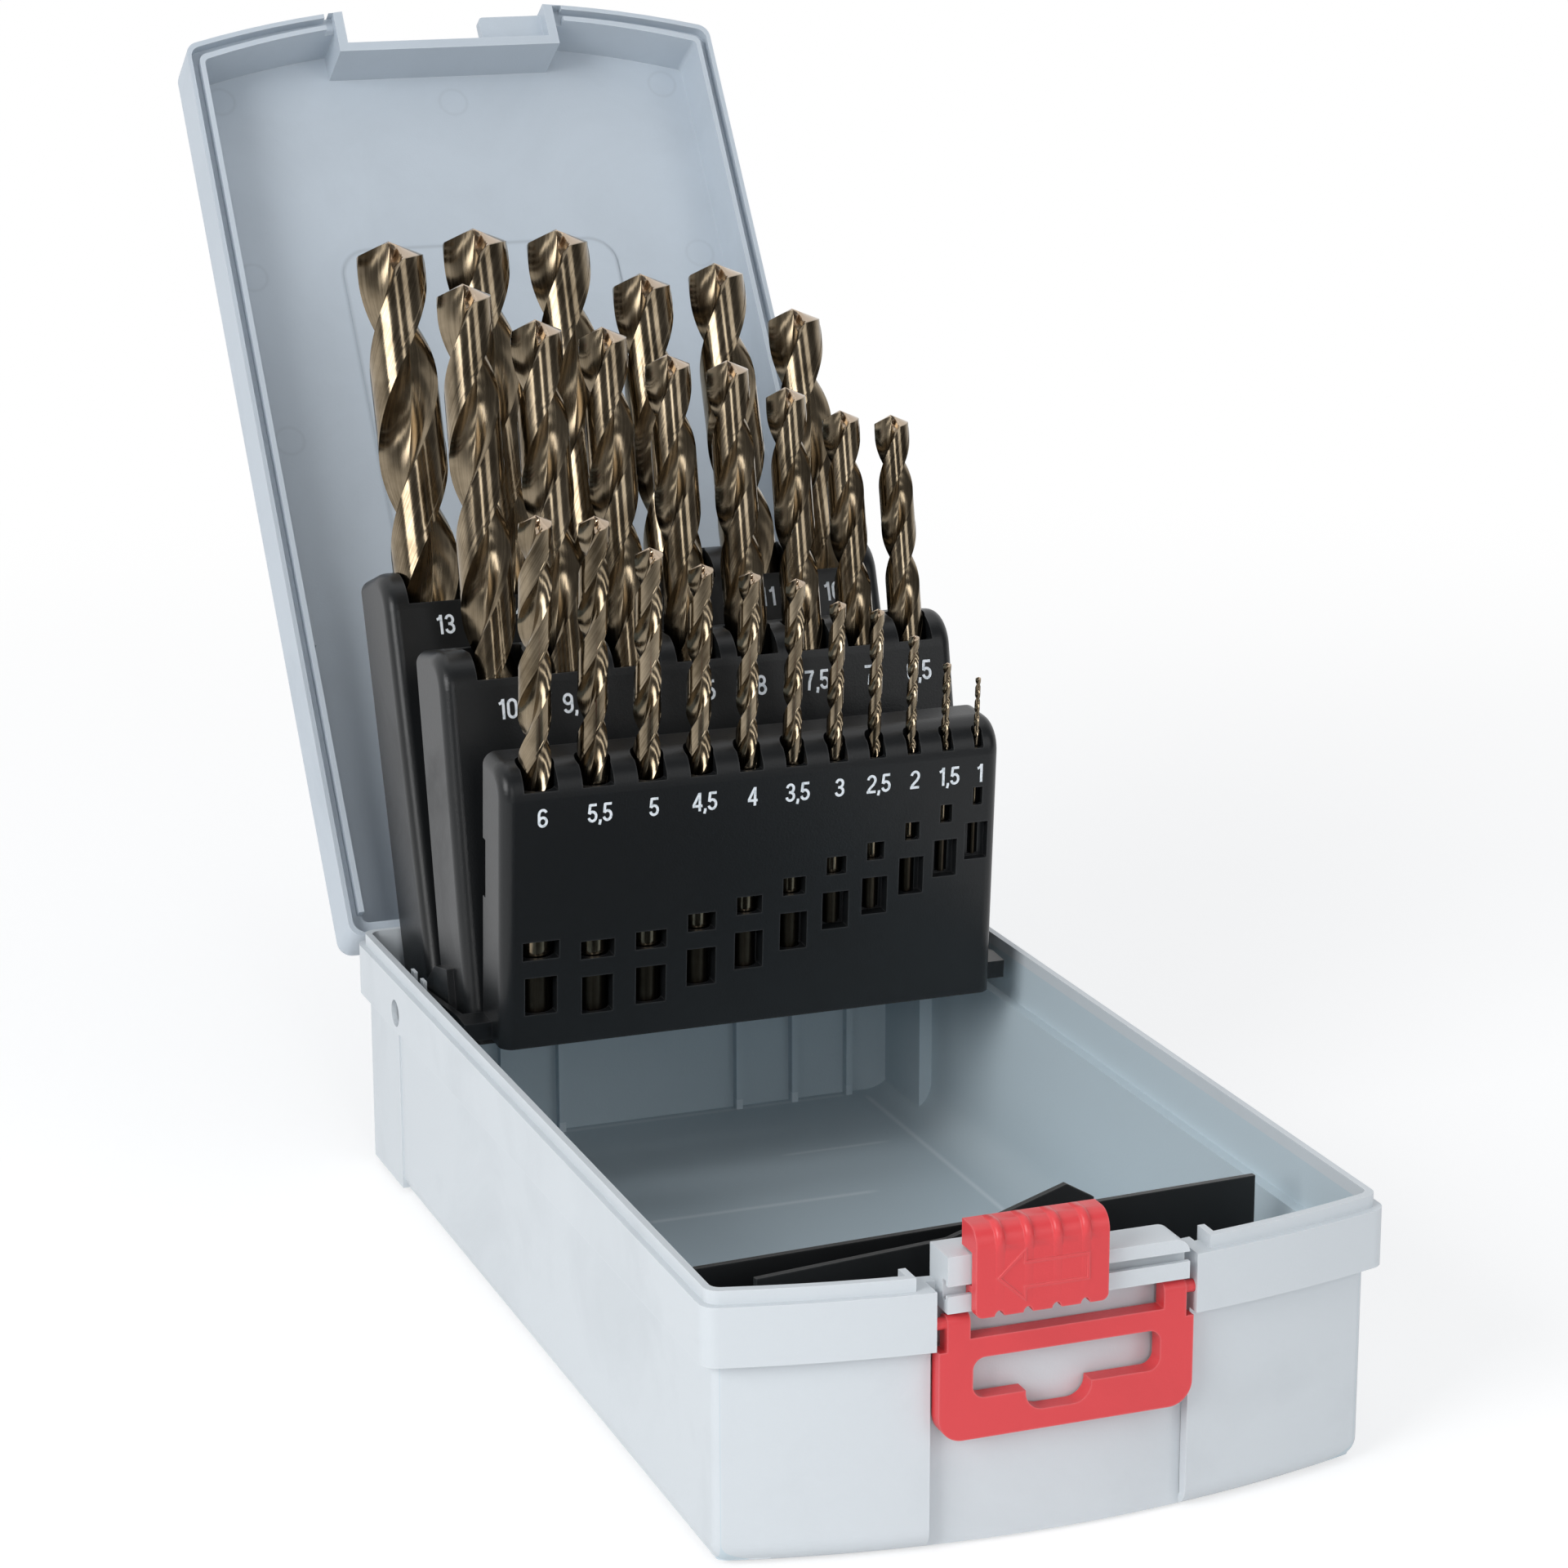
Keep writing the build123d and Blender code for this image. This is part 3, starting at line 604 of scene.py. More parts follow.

# %% Paint the plastic parts
# The tray's inside colour is a painted shade of the same plastic.
tray_plastic = plastic("tray_plastic", (0.63, 0.67, 0.70), 0.42, lines=WELD_HIGHLIGHTS, inside_shade=(0.54, 0.63, 0.68))
# The lid is the tray's plastic painted darker and bluer, a painted shade.
lid_shaded_plastic = plastic("lid_shaded_plastic", (0.52, 0.58, 0.64), 0.42, rings=RINGS, panel=LID_PANEL)
rack_plastic = plastic("rack_plastic", (0.0085, 0.0095, 0.0105), 0.34,
                       edge_highlight=0.03, mark_dark=0.3, specular=0.4)
red_plastic = plastic("red_plastic", (0.71, 0.055, 0.063), 0.34, edge_highlight=0.10)
strip_plastic = plastic("strip_plastic", (0.008, 0.009, 0.010), 0.45, edge_highlight=0.05, grain=0.05)
pin_plastic = plastic("pin_plastic", (0.20, 0.22, 0.24), 0.40)


def paint(names, material):
    """Gives CAD nodes one material in place of their plain one."""
    for name in names:
        mesh = nodes[name].data
        mesh.materials.clear()
        mesh.materials.append(material)


paint(("base_tray",), tray_plastic)
paint(("lid",), lid_shaded_plastic)
rack_names = [name for name in nodes if name.startswith("rack_") and "pivot_pin" not in name]
paint(rack_names, rack_plastic)
paint(("latch_slider", "carry_handle"), red_plastic)
paint(("insert_strip_rear", "insert_strip_front"), strip_plastic)
paint(("rack_pivot_pin_left", "rack_pivot_pin_right"), pin_plastic)
print("black parts:", sorted(rack_names))

# %% [markdown]
# ## Metals
#
# The drills are ground cobalt steel, tempered until the surface turns bronze.
# Their flutes are ground lengthwise, so fine streaks follow the helix,
# and the point is ground last, so it is the brightest part.
# The drill's own tree stores what the finish needs as attributes:
# `flute` is 1 in a flute's floor, `ground` is 1 on the point,
# and `track` is the place on the bar with its twist taken out.
# The foot of each shank is painted darker and duller.


# %% Drill steel
TRACK_AROUND = 2600.0
TRACK_RISE = 60.0
DARK_FOOT = (0.0095, 0.0110)
TEMPER_DARK = (0.115, 0.088, 0.055)
TEMPER_LIGHT = (0.350, 0.285, 0.200)
FLUTE_BRONZE = (0.270, 0.215, 0.145)
POINT_BRONZE = (0.58, 0.46, 0.35)
FOOT_BLACK = (0.022, 0.019, 0.015)
FLUTE_SHOWS, POINT_SHOWS, FOOT_SHOWS = 0.60, 0.7, 0.85
FLUTE_DULLS, FOOT_DULLS = 0.16, 0.2
GROUND_GLOSS = (0.10, 0.20)
STREAK_DEPTH = 0.00005


def drill_steel():
    material, graph, shader = new_material("tempered_cobalt", (0.35, 0.28, 0.18))
    flute = graph.get("ShaderNodeAttribute", "Fac", attribute_name="flute")
    ground = graph.get("ShaderNodeAttribute", "Fac", attribute_name="ground")
    track = graph.get("ShaderNodeAttribute", "Vector", attribute_name="track")
    streak = graph.noise(track, 1.0, Detail=4.0, Roughness=0.65)
    cloud = graph.noise(graph.place(), 110.0, Detail=4.0, Roughness=0.6)
    temper = graph.remap(cloud * 0.55 + streak * 0.45, 0.36, 0.64)
    bronze = graph.blend(temper, TEMPER_DARK, TEMPER_LIGHT)
    bronze = graph.blend(flute * FLUTE_SHOWS, bronze, FLUTE_BRONZE)
    bronze = graph.blend(ground * POINT_SHOWS, bronze, POINT_BRONZE)
    # the foot of the shank is painted darker and duller
    _, _, rise = graph.parts(track)
    foot = graph.remap(rise, DARK_FOOT[0] * TRACK_RISE, DARK_FOOT[1] * TRACK_RISE, 1.0, 0.0)
    bronze = graph.blend(foot * FOOT_SHOWS, bronze, FOOT_BLACK)
    roughness = graph.remap(streak, 0.3, 0.7, *GROUND_GLOSS) + flute * FLUTE_DULLS + foot * FOOT_DULLS
    sockets = {"Strength": 0.05, "Distance": STREAK_DEPTH, "Height": streak}
    bump = graph.get("ShaderNodeBump", "Normal", sockets)
    graph.fill(shader, {"Base Color": bronze, "Roughness": roughness, "Normal": bump, "Metallic": 1.0})
    return material


cobalt_steel = drill_steel()
print("drill steel:", cobalt_steel.name)


# %% Drawn wire
def wire_steel():
    """Hinge pins: drawing leaves fine lines along the wire."""
    material, graph, shader = new_material("wire_steel")
    drawn = graph.get("ShaderNodeMapping", 0, {"Vector": graph.place(), "Scale": (30, 3000, 3000)})
    lines = graph.noise(drawn, 1.0)
    colour = graph.blend(lines, (0.46, 0.47, 0.49), (0.58, 0.59, 0.60))
    roughness = graph.remap(lines, 0.3, 0.7, 0.22, 0.4)
    graph.fill(shader, {"Base Color": colour, "Roughness": roughness, "Metallic": 1.0})
    return material


paint(("hinge_pin_left", "hinge_pin_right"), wire_steel())
print("hinge pins:", nodes["hinge_pin_left"].data.materials[0].name)

# %% [markdown]
# ## The drill's cross-section
#
# A twist drill is a round bar with two flutes ground into it, so its section
# repeats every half turn. Starting at a cutting edge and going the way the drill turns:
# the flute's face drops steeply, its floor leaves a thin web in the middle,
# and it climbs to the heel. The land behind the heel is ground a little lower,
# except for the margin, the narrow full-size strip that guides the drill.
#
# The section is a table of angles and distances from the axis.
# Two Float Curves carry it into the tree, with corners kept where the real one has an edge.

# %% Section table
# degrees from the cutting edge and share of the radius; points on the land or further out are corners
LAND = 0.985
SECTION = (
    (0, 1.00), (4.2, 0.60), (14.0, 0.40), (28.0, 0.30), (46, 0.252), (62, 0.245),
    (74, 0.34), (84, 0.56), (92, 0.81), (99, LAND), (113, LAND), (127, LAND),
    (142, LAND), (156, LAND), (170, LAND), (170.8, 1.00), (180, 1.00),
)
STEPS = len(SECTION) - 1


def section_curve(graph, share, values):
    """A Float Curve through evenly spaced values, smooth between corners."""
    made = graph.node("ShaderNodeFloatCurve", {"Value": share})
    points = made.mapping.curves[0].points
    points[0].location = (0, values[0])
    points[1].location = (1, values[-1])
    for index in range(1, STEPS):
        points.new(index / STEPS, values[index])
    for point, (_, reach) in zip(points, SECTION):
        point.handle_type = "VECTOR" if reach >= LAND else "AUTO_CLAMPED"
    made.mapping.update()
    return Value(graph, made.outputs[0])


print("section points in a half turn:", STEPS)

# %% [markdown]
# ## Twist drills with Geometry Nodes
#
# One tree makes every drill. It bends a flat grid into a bar:
# the grid's columns run up the helix and its rows go round the section.
# The lowest rows close the flat end and its chamfer, the next ones are the shank and the fluted body,
# and the last ones close over the point.
# The point is a cone that sinks behind each lip by the relief angle,
# which leaves the two lips as the highest edges. A gash thins the web beside each lip,
# as on drills that start without a punch mark.
#
# The tree's inputs are the sizes a drill is bought by.

# %% Drill inputs
POINT_ANGLE = 135.0
DRILL_INPUTS = (
    ("Diameter", "Float", 0.010),
    ("Overall Length", "Float", 0.133),
    ("Flute Length", "Float", 0.087),
    ("Helix Lead", "Float", 0.054),
    ("Flute Depth", "Float", 1.0),
    ("Point Angle", "Float", POINT_ANGLE),
    ("Relief Angle", "Float", 14.0),
    ("Start Turn", "Float", 0.0),
    ("Columns", "Int", 96),
    ("Body Rows", "Int", 120),
    ("Point Rows", "Int", 16),
    ("Material", "Material", None),
)
LOW_ROWS = 3
print("drill inputs:", [label for label, _, _ in DRILL_INPUTS])


# %% Columns and the section
def column_section(graph, size, flat_x):
    """Which half turn a column is in, its angle there, and its cut below the full radius."""
    halves = (flat_x + 0.5) * 2.0
    half = graph.math("FLOOR", halves)
    share = halves - half
    angle_share = section_curve(graph, share, [degrees / 180 for degrees, _ in SECTION])
    section = section_curve(graph, share, [reach for _, reach in SECTION])
    return half, angle_share * math.pi, (1.0 - section) * size["Flute Depth"]


# %% The ground point
FLANK_START = (math.radians(60), math.radians(75))
GASH_EDGE = 0.24
GASH_SLOPE = 1.7
GASH_OPENS = 1.3
GASH_TURNS = 0.76
GASH_LEANS = 0.4


def point_fall(graph, size, angle):
    """A rule for how far the point has fallen below its tip at a distance from the axis.

    It adds the cone, the relief that grows behind the lip, and the gash that thins the web.
    Distances and falls are in radii.
    """
    cone = 1.0 / graph.math("TANGENT", size["Point Angle"] * math.radians(0.5))
    behind = math.pi - angle
    on_flank = graph.remap(angle, *FLANK_START, smooth=True)
    relief = behind * on_flank * graph.math("TANGENT", size["Relief Angle"] * math.radians(1))

    def fall(share_out):
        along_lip = share_out * graph.math("COSINE", behind)
        off_lip = share_out * graph.math("SINE", behind)
        edge = (off_lip * GASH_OPENS).at_most(GASH_EDGE)
        edge = edge.at_most(GASH_EDGE + (GASH_TURNS - off_lip) * GASH_LEANS)
        deep = graph.remap(edge - along_lip, 0.0, GASH_EDGE, 0.0, GASH_EDGE, smooth=True)
        return share_out * (cone + relief) + deep * on_flank * GASH_SLOPE

    return fall


# %% Drill shape
CHAMFER_SHARE = 0.05
RUN_OUT_SHARE = 0.9


def bend_grid(graph, size):
    """The grid, each point's new place, and the three attributes that the finish reads."""
    rows = size["Body Rows"] + size["Point Rows"] + LOW_ROWS
    counts = {"Size X": 1.0, "Size Y": 1.0, "Vertices X": size["Columns"] + 1, "Vertices Y": rows + 1}
    sheet = graph.get("GeometryNodeMeshGrid", "Mesh", counts)
    flat_x, flat_y, _ = graph.parts(graph.get("GeometryNodeInputPosition", 0))
    row = graph.math("ROUND", (flat_y + 0.5) * rows)
    half, angle, cut = column_section(graph, size, flat_x)
    diameter, length = size["Diameter"], size["Overall Length"]
    radius = diameter * 0.5
    fall = point_fall(graph, size, angle)
    rim = 1.0 - cut
    body_top = length - radius * fall(rim)

    # height: the chamfer, the shank, the body and the point, one after the other
    chamfer = diameter * CHAMFER_SHARE
    flute_start = length - size["Flute Length"]
    body_share = ((row - LOW_ROWS) / size["Body Rows"]).at_least(0.0).at_most(1.0)
    point_share = ((row - LOW_ROWS - size["Body Rows"]) / size["Point Rows"]).at_least(0.0)
    height = graph.remap(row, 1.0, 2.0) * chamfer
    height += graph.remap(row, 2.0, 3.0) * (flute_start - chamfer)
    height += body_share * (body_top - flute_start)

    # the flute fades in above the shank, and the helix starts to turn there
    full_flute = flute_start + diameter * RUN_OUT_SHARE
    run_out = graph.remap(height, flute_start, full_flute, smooth=True)
    turned = height.at_least(flute_start) / size["Helix Lead"] * math.tau
    turned += size["Start Turn"]
    reach = radius * (1.0 - cut * run_out)
    closing = graph.remap(row, 0.0, 1.0) * (1.0 - point_share)
    reach_in = (reach - chamfer * graph.remap(row, 1.0, 2.0, 1.0, 0.0)) * closing
    around = angle + half * math.pi
    across = around + turned
    sunk = length - radius * fall(rim * (1.0 - point_share))
    top = height + (sunk - height) * graph.math("GREATER_THAN", point_share, 0.0)
    place = graph.get("ShaderNodeCombineXYZ", 0, {
        "X": reach_in * graph.math("COSINE", across), "Y": reach_in * graph.math("SINE", across), "Z": top})
    track = graph.get("ShaderNodeCombineXYZ", 0, {
        "X": reach_in * graph.math("COSINE", around) * TRACK_AROUND,
        "Y": reach_in * graph.math("SINE", around) * TRACK_AROUND,
        "Z": top * TRACK_RISE})
    marks = (
        ("flute", "FLOAT", cut * run_out),
        ("ground", "FLOAT", graph.math("GREATER_THAN", point_share, 0.0)),
        ("track", "FLOAT_VECTOR", track),
    )
    return sheet, place, marks


# %% Drill tree
SHARP = math.radians(32)
SEAM = 2e-7


def drill_tree():
    outputs = (("Geometry", "Geometry"),)
    tree = new_group("twist_drill", DRILL_INPUTS, outputs, "GeometryNodeTree")
    graph = Graph(tree)
    size = graph.inputs()
    mesh, place, marks = bend_grid(graph, size)

    def after(step, sockets, **settings):
        """The mesh after one more step."""
        return graph.get("GeometryNode" + step, 0, {"Geometry": mesh, **sockets}, **settings)

    for name, kind, value in marks:
        mesh = after("StoreNamedAttribute", {"Name": name, "Value": value}, data_type=kind, domain="POINT")
    mesh = after("SetPosition", {"Position": place})
    mesh = after("MergeByDistance", {"Distance": SEAM})
    mesh = after("SetShadeSmooth", {"Shade Smooth": True})
    bend = graph.get("GeometryNodeInputMeshEdgeAngle", "Unsigned Angle")
    sharp = graph.math("GREATER_THAN", bend, SHARP)
    mesh = after("SetShadeSmooth", {"Selection": sharp, "Shade Smooth": False}, domain="EDGE")
    mesh = after("RealizeInstances", {})
    mesh = after("SetMaterial", {"Material": size["Material"]})
    graph.node("NodeGroupOutput", {"Geometry": mesh})
    return tree


DRILL_TREE = drill_tree()
print("drill tree nodes:", len(DRILL_TREE.nodes))

# %% [markdown]
# ## The racks' own frames
#
# Each rack turns on the same pivot, leans by its own angle and carries its drills
# in a row from large to small. A rack's frame has its origin on the pivot axis,
# Y runs through the rack and Z runs up along the drills.
# The numbers match the CAD: a drill's length and flute length by its diameter,
# and for each rack its lean, its front face and the wall behind it, the first drill's place
# and the gap between drills, how high its numbers stand and how tall they are,
# and each drill's diameter with the height of its seat.

# %% Drill lengths
LENGTHS = {
    1.0: (34, 12), 1.5: (40, 18), 2.0: (49, 24), 2.5: (57, 30), 3.0: (61, 33),
    3.5: (70, 39), 4.0: (75, 43), 4.5: (80, 47), 5.0: (86, 52), 5.5: (93, 57),
    6.0: (93, 57), 6.5: (101, 63), 7.0: (109, 69), 7.5: (109, 69), 8.0: (117, 75),
    8.5: (117, 75), 9.0: (125, 81), 9.5: (125, 81), 10.0: (133, 87), 10.5: (133, 87),
    11.0: (142, 94), 11.5: (142, 94), 12.0: (151, 101), 12.5: (151, 101),
    13.0: (151, 101),
}
print("longest drill and flute:", max(LENGTHS.values()))

# %% Racks
RACKS = {
    "rack_front": dict(
        lean=-4.0, face=-35.5, wall=0.8, first=-40.4, gap=4.88, label=48.7, digit=3.5,
        drills=((6.0, 9.8), (5.5, 8.9), (5.0, 9.5), (4.5, 11.8), (4.0, 14.7), (3.5, 17.8),
                (3.0, 22.0), (2.5, 24.0), (2.0, 26.5), (1.5, 29.8), (1.0, 32.6)),
    ),
    "rack_middle": dict(
        lean=11.5, face=-23.6, wall=1.0, first=-38.3, gap=3.3071, label=55.9, digit=3.7,
        drills=((10.0, 0.1), (9.5, 0.9), (9.0, -1.2), (8.5, 1.0), (8.0, -0.8), (7.5, 1.5),
                (7.0, -3.5), (6.5, 3.0)),
    ),
    "rack_rear": dict(
        lean=19.2, face=0.6, wall=1.0, first=-39.2, gap=4.25, label=71.7, digit=3.7,
        drills=((13.0, -4.3), (12.5, -2.7), (12.0, -3.8), (11.5, -4.4), (11.0, -3.2), (10.5, -4.2)),
    ),
}
PIVOT = Vector((0, 70.8, 37.8)) * MM


def rack_frame(rack):
    """The turn and place that carry a rack's own frame into the case."""
    return Matrix.Translation(PIVOT) @ Matrix.Rotation(math.radians(-rack["lean"]), 4, "X")


def drill_xs(rack):
    """The drills' places along the rack: neighbours keep one gap between their sides."""
    xs = [rack["first"]]
    sizes = [diameter for diameter, _ in rack["drills"]]
    for left, right in zip(sizes, sizes[1:]):
        xs.append(xs[-1] + (left + right) / 2 + rack["gap"])
    return xs


print("rows end at:", {name: round(drill_xs(rack)[-1], 1) for name, rack in RACKS.items()})


# %% Run a tree once
def grow(tree, name, values, place):
    """Runs a Geometry Nodes tree and keeps its result as a plain mesh."""
    carrier = new_object(name + "_carrier", bpy.data.meshes.new(name + "_carrier"))
    modifier = carrier.modifiers.new("grow", "NODES")
    modifier.node_group = tree
    for item in tree.interface.items_tree:
        if item.item_type == "SOCKET" and item.in_out == "INPUT" and item.name in values:
            modifier[item.identifier] = values[item.name]
    depsgraph = bpy.context.evaluated_depsgraph_get()
    result = carrier.evaluated_get(depsgraph)
    mesh = bpy.data.meshes.new_from_object(result, preserve_all_data_layers=True, depsgraph=depsgraph)
    bpy.data.objects.remove(carrier)
    mesh.name = name
    mesh.transform(place)
    return mesh


def new_piece(name, mesh, body):
    """Puts a finished mesh at the origin and lets it ride on a body."""
    piece = new_object(name, mesh)
    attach(piece, body)
    return piece


# %% [markdown]
# ## Twenty-five drills
#
# The small drills get fewer columns, because nobody sees more on them.
# Each is turned so that its lip stands a little in front of its left side,
# as drills do that were pushed in the same way round.

# %% One drill's sizes
LEAD_SHARE = 5.4
LIP_TURN = math.radians(187.5)
CONE_SHARE = 0.5 / math.tan(math.radians(POINT_ANGLE / 2))


def drill_values(diameter):
    """The tree's inputs for one size. The start turn brings the lip to the same side on each."""
    overall, flute = LENGTHS[diameter]
    lead = diameter * LEAD_SHARE
    lip_height = overall - diameter * CONE_SHARE
    columns = 32 if diameter <= 2 else 64 if diameter <= 6 else 96
    rows_per_turn = 72 if diameter > 4 else 40
    return {
        "Diameter": diameter * MM,
        "Overall Length": overall * MM,
        "Flute Length": flute * MM,
        "Helix Lead": lead * MM,
        "Flute Depth": 1.0 if diameter > 3 else 0.9,
        "Start Turn": LIP_TURN - lip_height / lead * math.tau,
        "Columns": columns,
        "Body Rows": round(flute / lead * rows_per_turn),
        "Material": cobalt_steel,
    }


print("body rows, 1 and 13 mm:", [drill_values(size)["Body Rows"] for size in (1.0, 13.0)])

# %% Make the drills
BORE_PLAY = 1.0
SEAT_GAP = 0.02


def make_drill(rack_name, rack, x, diameter, seat):
    """Grows one drill in its bore and returns its number of triangles."""
    name = ("drill_%04.1f" % diameter).replace(".", "_")
    y = rack["face"] + rack["wall"] + (diameter + BORE_PLAY) / 2
    place = rack_frame(rack) @ Matrix.Translation(Vector((x, y, seat + SEAT_GAP)) * MM)
    mesh = grow(DRILL_TREE, "twist_" + name, drill_values(diameter), place)
    piece = new_piece("twist_" + name, mesh, rack_name)
    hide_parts(name)
    return sum(len(face.vertices) - 2 for face in mesh.polygons)


triangles = [make_drill(rack_name, rack, x, diameter, seat)
             for rack_name, rack in RACKS.items()
             for x, (diameter, seat) in zip(drill_xs(rack), rack["drills"])]
print("drills:", len(triangles), "triangles:", sum(triangles), "largest:", max(triangles))


# %% [markdown]
# ## Numbers on the racks
#
# Each size is printed over its windows, with a comma for the half millimetres.
# The printed figures are narrow and even in weight, so each is drawn as a few
# pen strokes in a box one unit high, and a stroke is widened into a flat ribbon.
# Strokes lie a hair apart in depth, so that no two faces share a plane.

# %% White ink
THIN_INK = (0.60, 0.66, 0.70)
FULL_INK = (0.84, 0.88, 0.92)


def ink():
    """Printed ink that covers the black a little unevenly."""
    material, graph, shader = new_material("white_ink")
    cover = graph.remap(graph.noise(graph.place(), 1500.0, Detail=2.0), 0.35, 0.5)
    graph.fill(shader, {"Base Color": graph.blend(cover, THIN_INK, FULL_INK), "Roughness": 0.6})
    return material


white_ink = ink()
print("ink:", white_ink.name)

# %% Pen strokes of each figure
FIGURE_WIDTH = 0.54


def arc(x, y, across, up, start, end, steps=12):
    """Points on a stretch of an ellipse round x, y, from one angle in degrees to another."""
    turns = [math.radians(start + (end - start) * i / steps) for i in range(steps + 1)]
    return [(x + across * math.cos(a), y + up * math.sin(a)) for a in turns]


SIX = [
    arc(0.275, 0.70, 0.20, 0.23, 22, 180) + [(0.075, 0.30)],
    arc(0.27, 0.30, 0.20, 0.23, 0, 360, 20),
]
STROKES = {
    "0": [arc(0.27, 0.70, 0.20, 0.23, 0, 180) + arc(0.27, 0.30, 0.20, 0.23, 180, 360) + [(0.47, 0.70)]],
    "1": [[(0.32, 0.0), (0.32, 1.0)], [(0.10, 0.77), (0.20, 0.80), (0.27, 0.87), (0.31, 0.97)]],
    "2": [arc(0.27, 0.70, 0.20, 0.23, 172, -25) + [(0.36, 0.45), (0.22, 0.31), (0.12, 0.19), (0.075, 0.04)],
          [(0.0, 0.07), (0.50, 0.07)]],
    "3": [arc(0.26, 0.72, 0.18, 0.21, 170, -75), arc(0.26, 0.285, 0.20, 0.215, 75, -172),
          [(0.18, 0.512), (0.31, 0.512)]],
    "4": [[(0.385, 0.0), (0.385, 1.0)], [(0.37, 0.97), (0.05, 0.32)], [(0.0, 0.285), (0.53, 0.285)]],
    "5": [[(0.12, 0.93), (0.49, 0.93)], [(0.145, 0.97), (0.095, 0.47)],
          arc(0.265, 0.32, 0.20, 0.25, 145, -165)],
    "6": SIX,
    "7": [[(0.03, 0.93), (0.52, 0.93)], [(0.48, 0.93), (0.36, 0.70), (0.26, 0.42), (0.20, 0.0)]],
    "8": [arc(0.27, 0.73, 0.175, 0.20, 0, 360, 20), arc(0.27, 0.285, 0.20, 0.215, 0, 360, 20)],
    "9": [[(FIGURE_WIDTH - x, 1 - y) for x, y in stroke] for stroke in SIX],
    ",": [[(0.085, 0.13), (0.085, 0.02), (0.04, -0.15)]],
}
print("figures drawn:", len(STROKES))


# %% Widen a stroke into a ribbon
def ribbon(points, width):
    """Left and right points of a stroke, with mitred bends."""
    spots = [Vector(point) for point in points]
    closed = (spots[0] - spots[-1]).length < 1e-6
    ways = [(b - a).normalized() for a, b in zip(spots, spots[1:])]
    sides = []
    for index, spot in enumerate(spots):
        before = ways[index - 1] if index or closed else ways[0]
        after = ways[index] if index < len(ways) else ways[0] if closed else ways[-1]
        way = (before + after).normalized()
        out = Vector((-way.y, way.x)) * (width / 2 / max(0.5, way.dot(after)))
        sides.append((spot - out, spot + out))
    return sides


# %% Write a number
PEN = 0.14
FIGURE_STEP = 0.60
FIGURE_GAP = 0.06
NARROW_STEPS = {"1": 0.50, ",": 0.20}
STROKE_LIFT = 0.002


def write_number(text, height, depth):
    """Corners and faces of a number in mm, centred on the origin, facing -Y."""
    corners, faces = [], []
    steps = [NARROW_STEPS.get(letter, FIGURE_STEP) for letter in text]
    start = -(sum(steps) - FIGURE_GAP) / 2
    for letter, step in zip(text, steps):
        for stroke in STROKES[letter]:
            depth -= STROKE_LIFT
            first = len(corners)
            for pair in ribbon(stroke, PEN):
                corners += [Vector(((p.x + start) * height, depth, (p.y - 0.5) * height)) for p in pair]
            faces += [(i, i + 2, i + 3, i + 1) for i in range(first, len(corners) - 2, 2)]
        start += step
    return corners, faces


print("faces in 5,5:", len(write_number("5,5", 1.0, 0.0)[1]))

# %% Print the numbers
INK_LIFT = 0.01
LABEL_RIGHT = 0.2


def build_mesh(name, parts):
    """One mesh in metres from several lists of corners and faces in mm."""
    corners, faces = [], []
    for part_corners, part_faces in parts:
        faces += [[len(corners) + i for i in face] for face in part_faces]
        corners += [Vector(corner) * MM for corner in part_corners]
    mesh = bpy.data.meshes.new(name)
    mesh.from_pydata(corners, [], faces)
    return mesh


def make_numbers(rack_name, rack):
    parts = []
    for x, (diameter, _) in zip(drill_xs(rack), rack["drills"]):
        text = ("%g" % diameter).replace(".", ",")
        corners, faces = write_number(text, rack["digit"], rack["face"] - INK_LIFT)
        label = Vector((x + LABEL_RIGHT, 0, rack["label"]))
        parts.append(([corner + label for corner in corners], faces))
    mesh = build_mesh(rack_name + "_numbers", parts)
    mesh.transform(rack_frame(rack))
    mesh.materials.append(white_ink)
    new_piece(rack_name + "_numbers", mesh, rack_name)
    print(rack_name, "number faces:", len(mesh.polygons))


for rack_name, rack in RACKS.items():
    make_numbers(rack_name, rack)

# %% [markdown]
# ## The latch slider
#
# The red slider is a thin front plate with a flange that folds back over the case.
# Four grip ridges run over its rounded top edge, the lower edge is scalloped in step with them,
# and a raised outline of an arrow shows which way it opens.
# It is swept here from side views: one closed outline of plate and flange, repeated along X,
# with the outline swelled where a ridge is and shortened where a scallop is.
# That keeps the ridges part of one skin, as they are in the moulding.
# Only the arrow's rib and the rail behind the plate are added to it as pieces of their own.

# %% Slider sizes
# in millimetres, in the case's own frame
SLIDER_X = (-17.3, 4.7)
SLIDER_Z = (39.85, 54.9)
SLIDER_FRONT = -107.4
PLATE_BACK = -105.7
FLANGE_BACK = -101.8
FLANGE_LOW = 49.95
TOP_ROUND = 3.0
ROUND_STEPS = 8
BELOW_ROUND = 1.2
CORNER_ROUND = 1.2
CORNER_STEPS = 5
FIRST_RIDGE = 3.9
RIDGE_PITCH = 4.75
RIDGE_X = [SLIDER_X[0] + FIRST_RIDGE + RIDGE_PITCH * i for i in range(4)]
RIDGE_HALF = 0.8
RIDGE_PROUD = 0.7
RIDGE_BLUNT = 0.6
RIDGE_END = 0.4
RIDGE_STEPS = (-1.0, -0.85, -0.6, -0.3, 0.0, 0.3, 0.6, 0.85, 1.0)
SCALLOP_DEPTH = 0.9
print("ridges at:", [round(x, 2) for x in RIDGE_X])


# %% Slider side view
def ridge_share(x):
    """1 on the crest of a ridge, 0 between ridges."""
    near = min(abs(x - centre) for centre in RIDGE_X)
    return max(0.0, math.cos(min(1.0, near / RIDGE_HALF) * math.pi / 2)) ** RIDGE_BLUNT


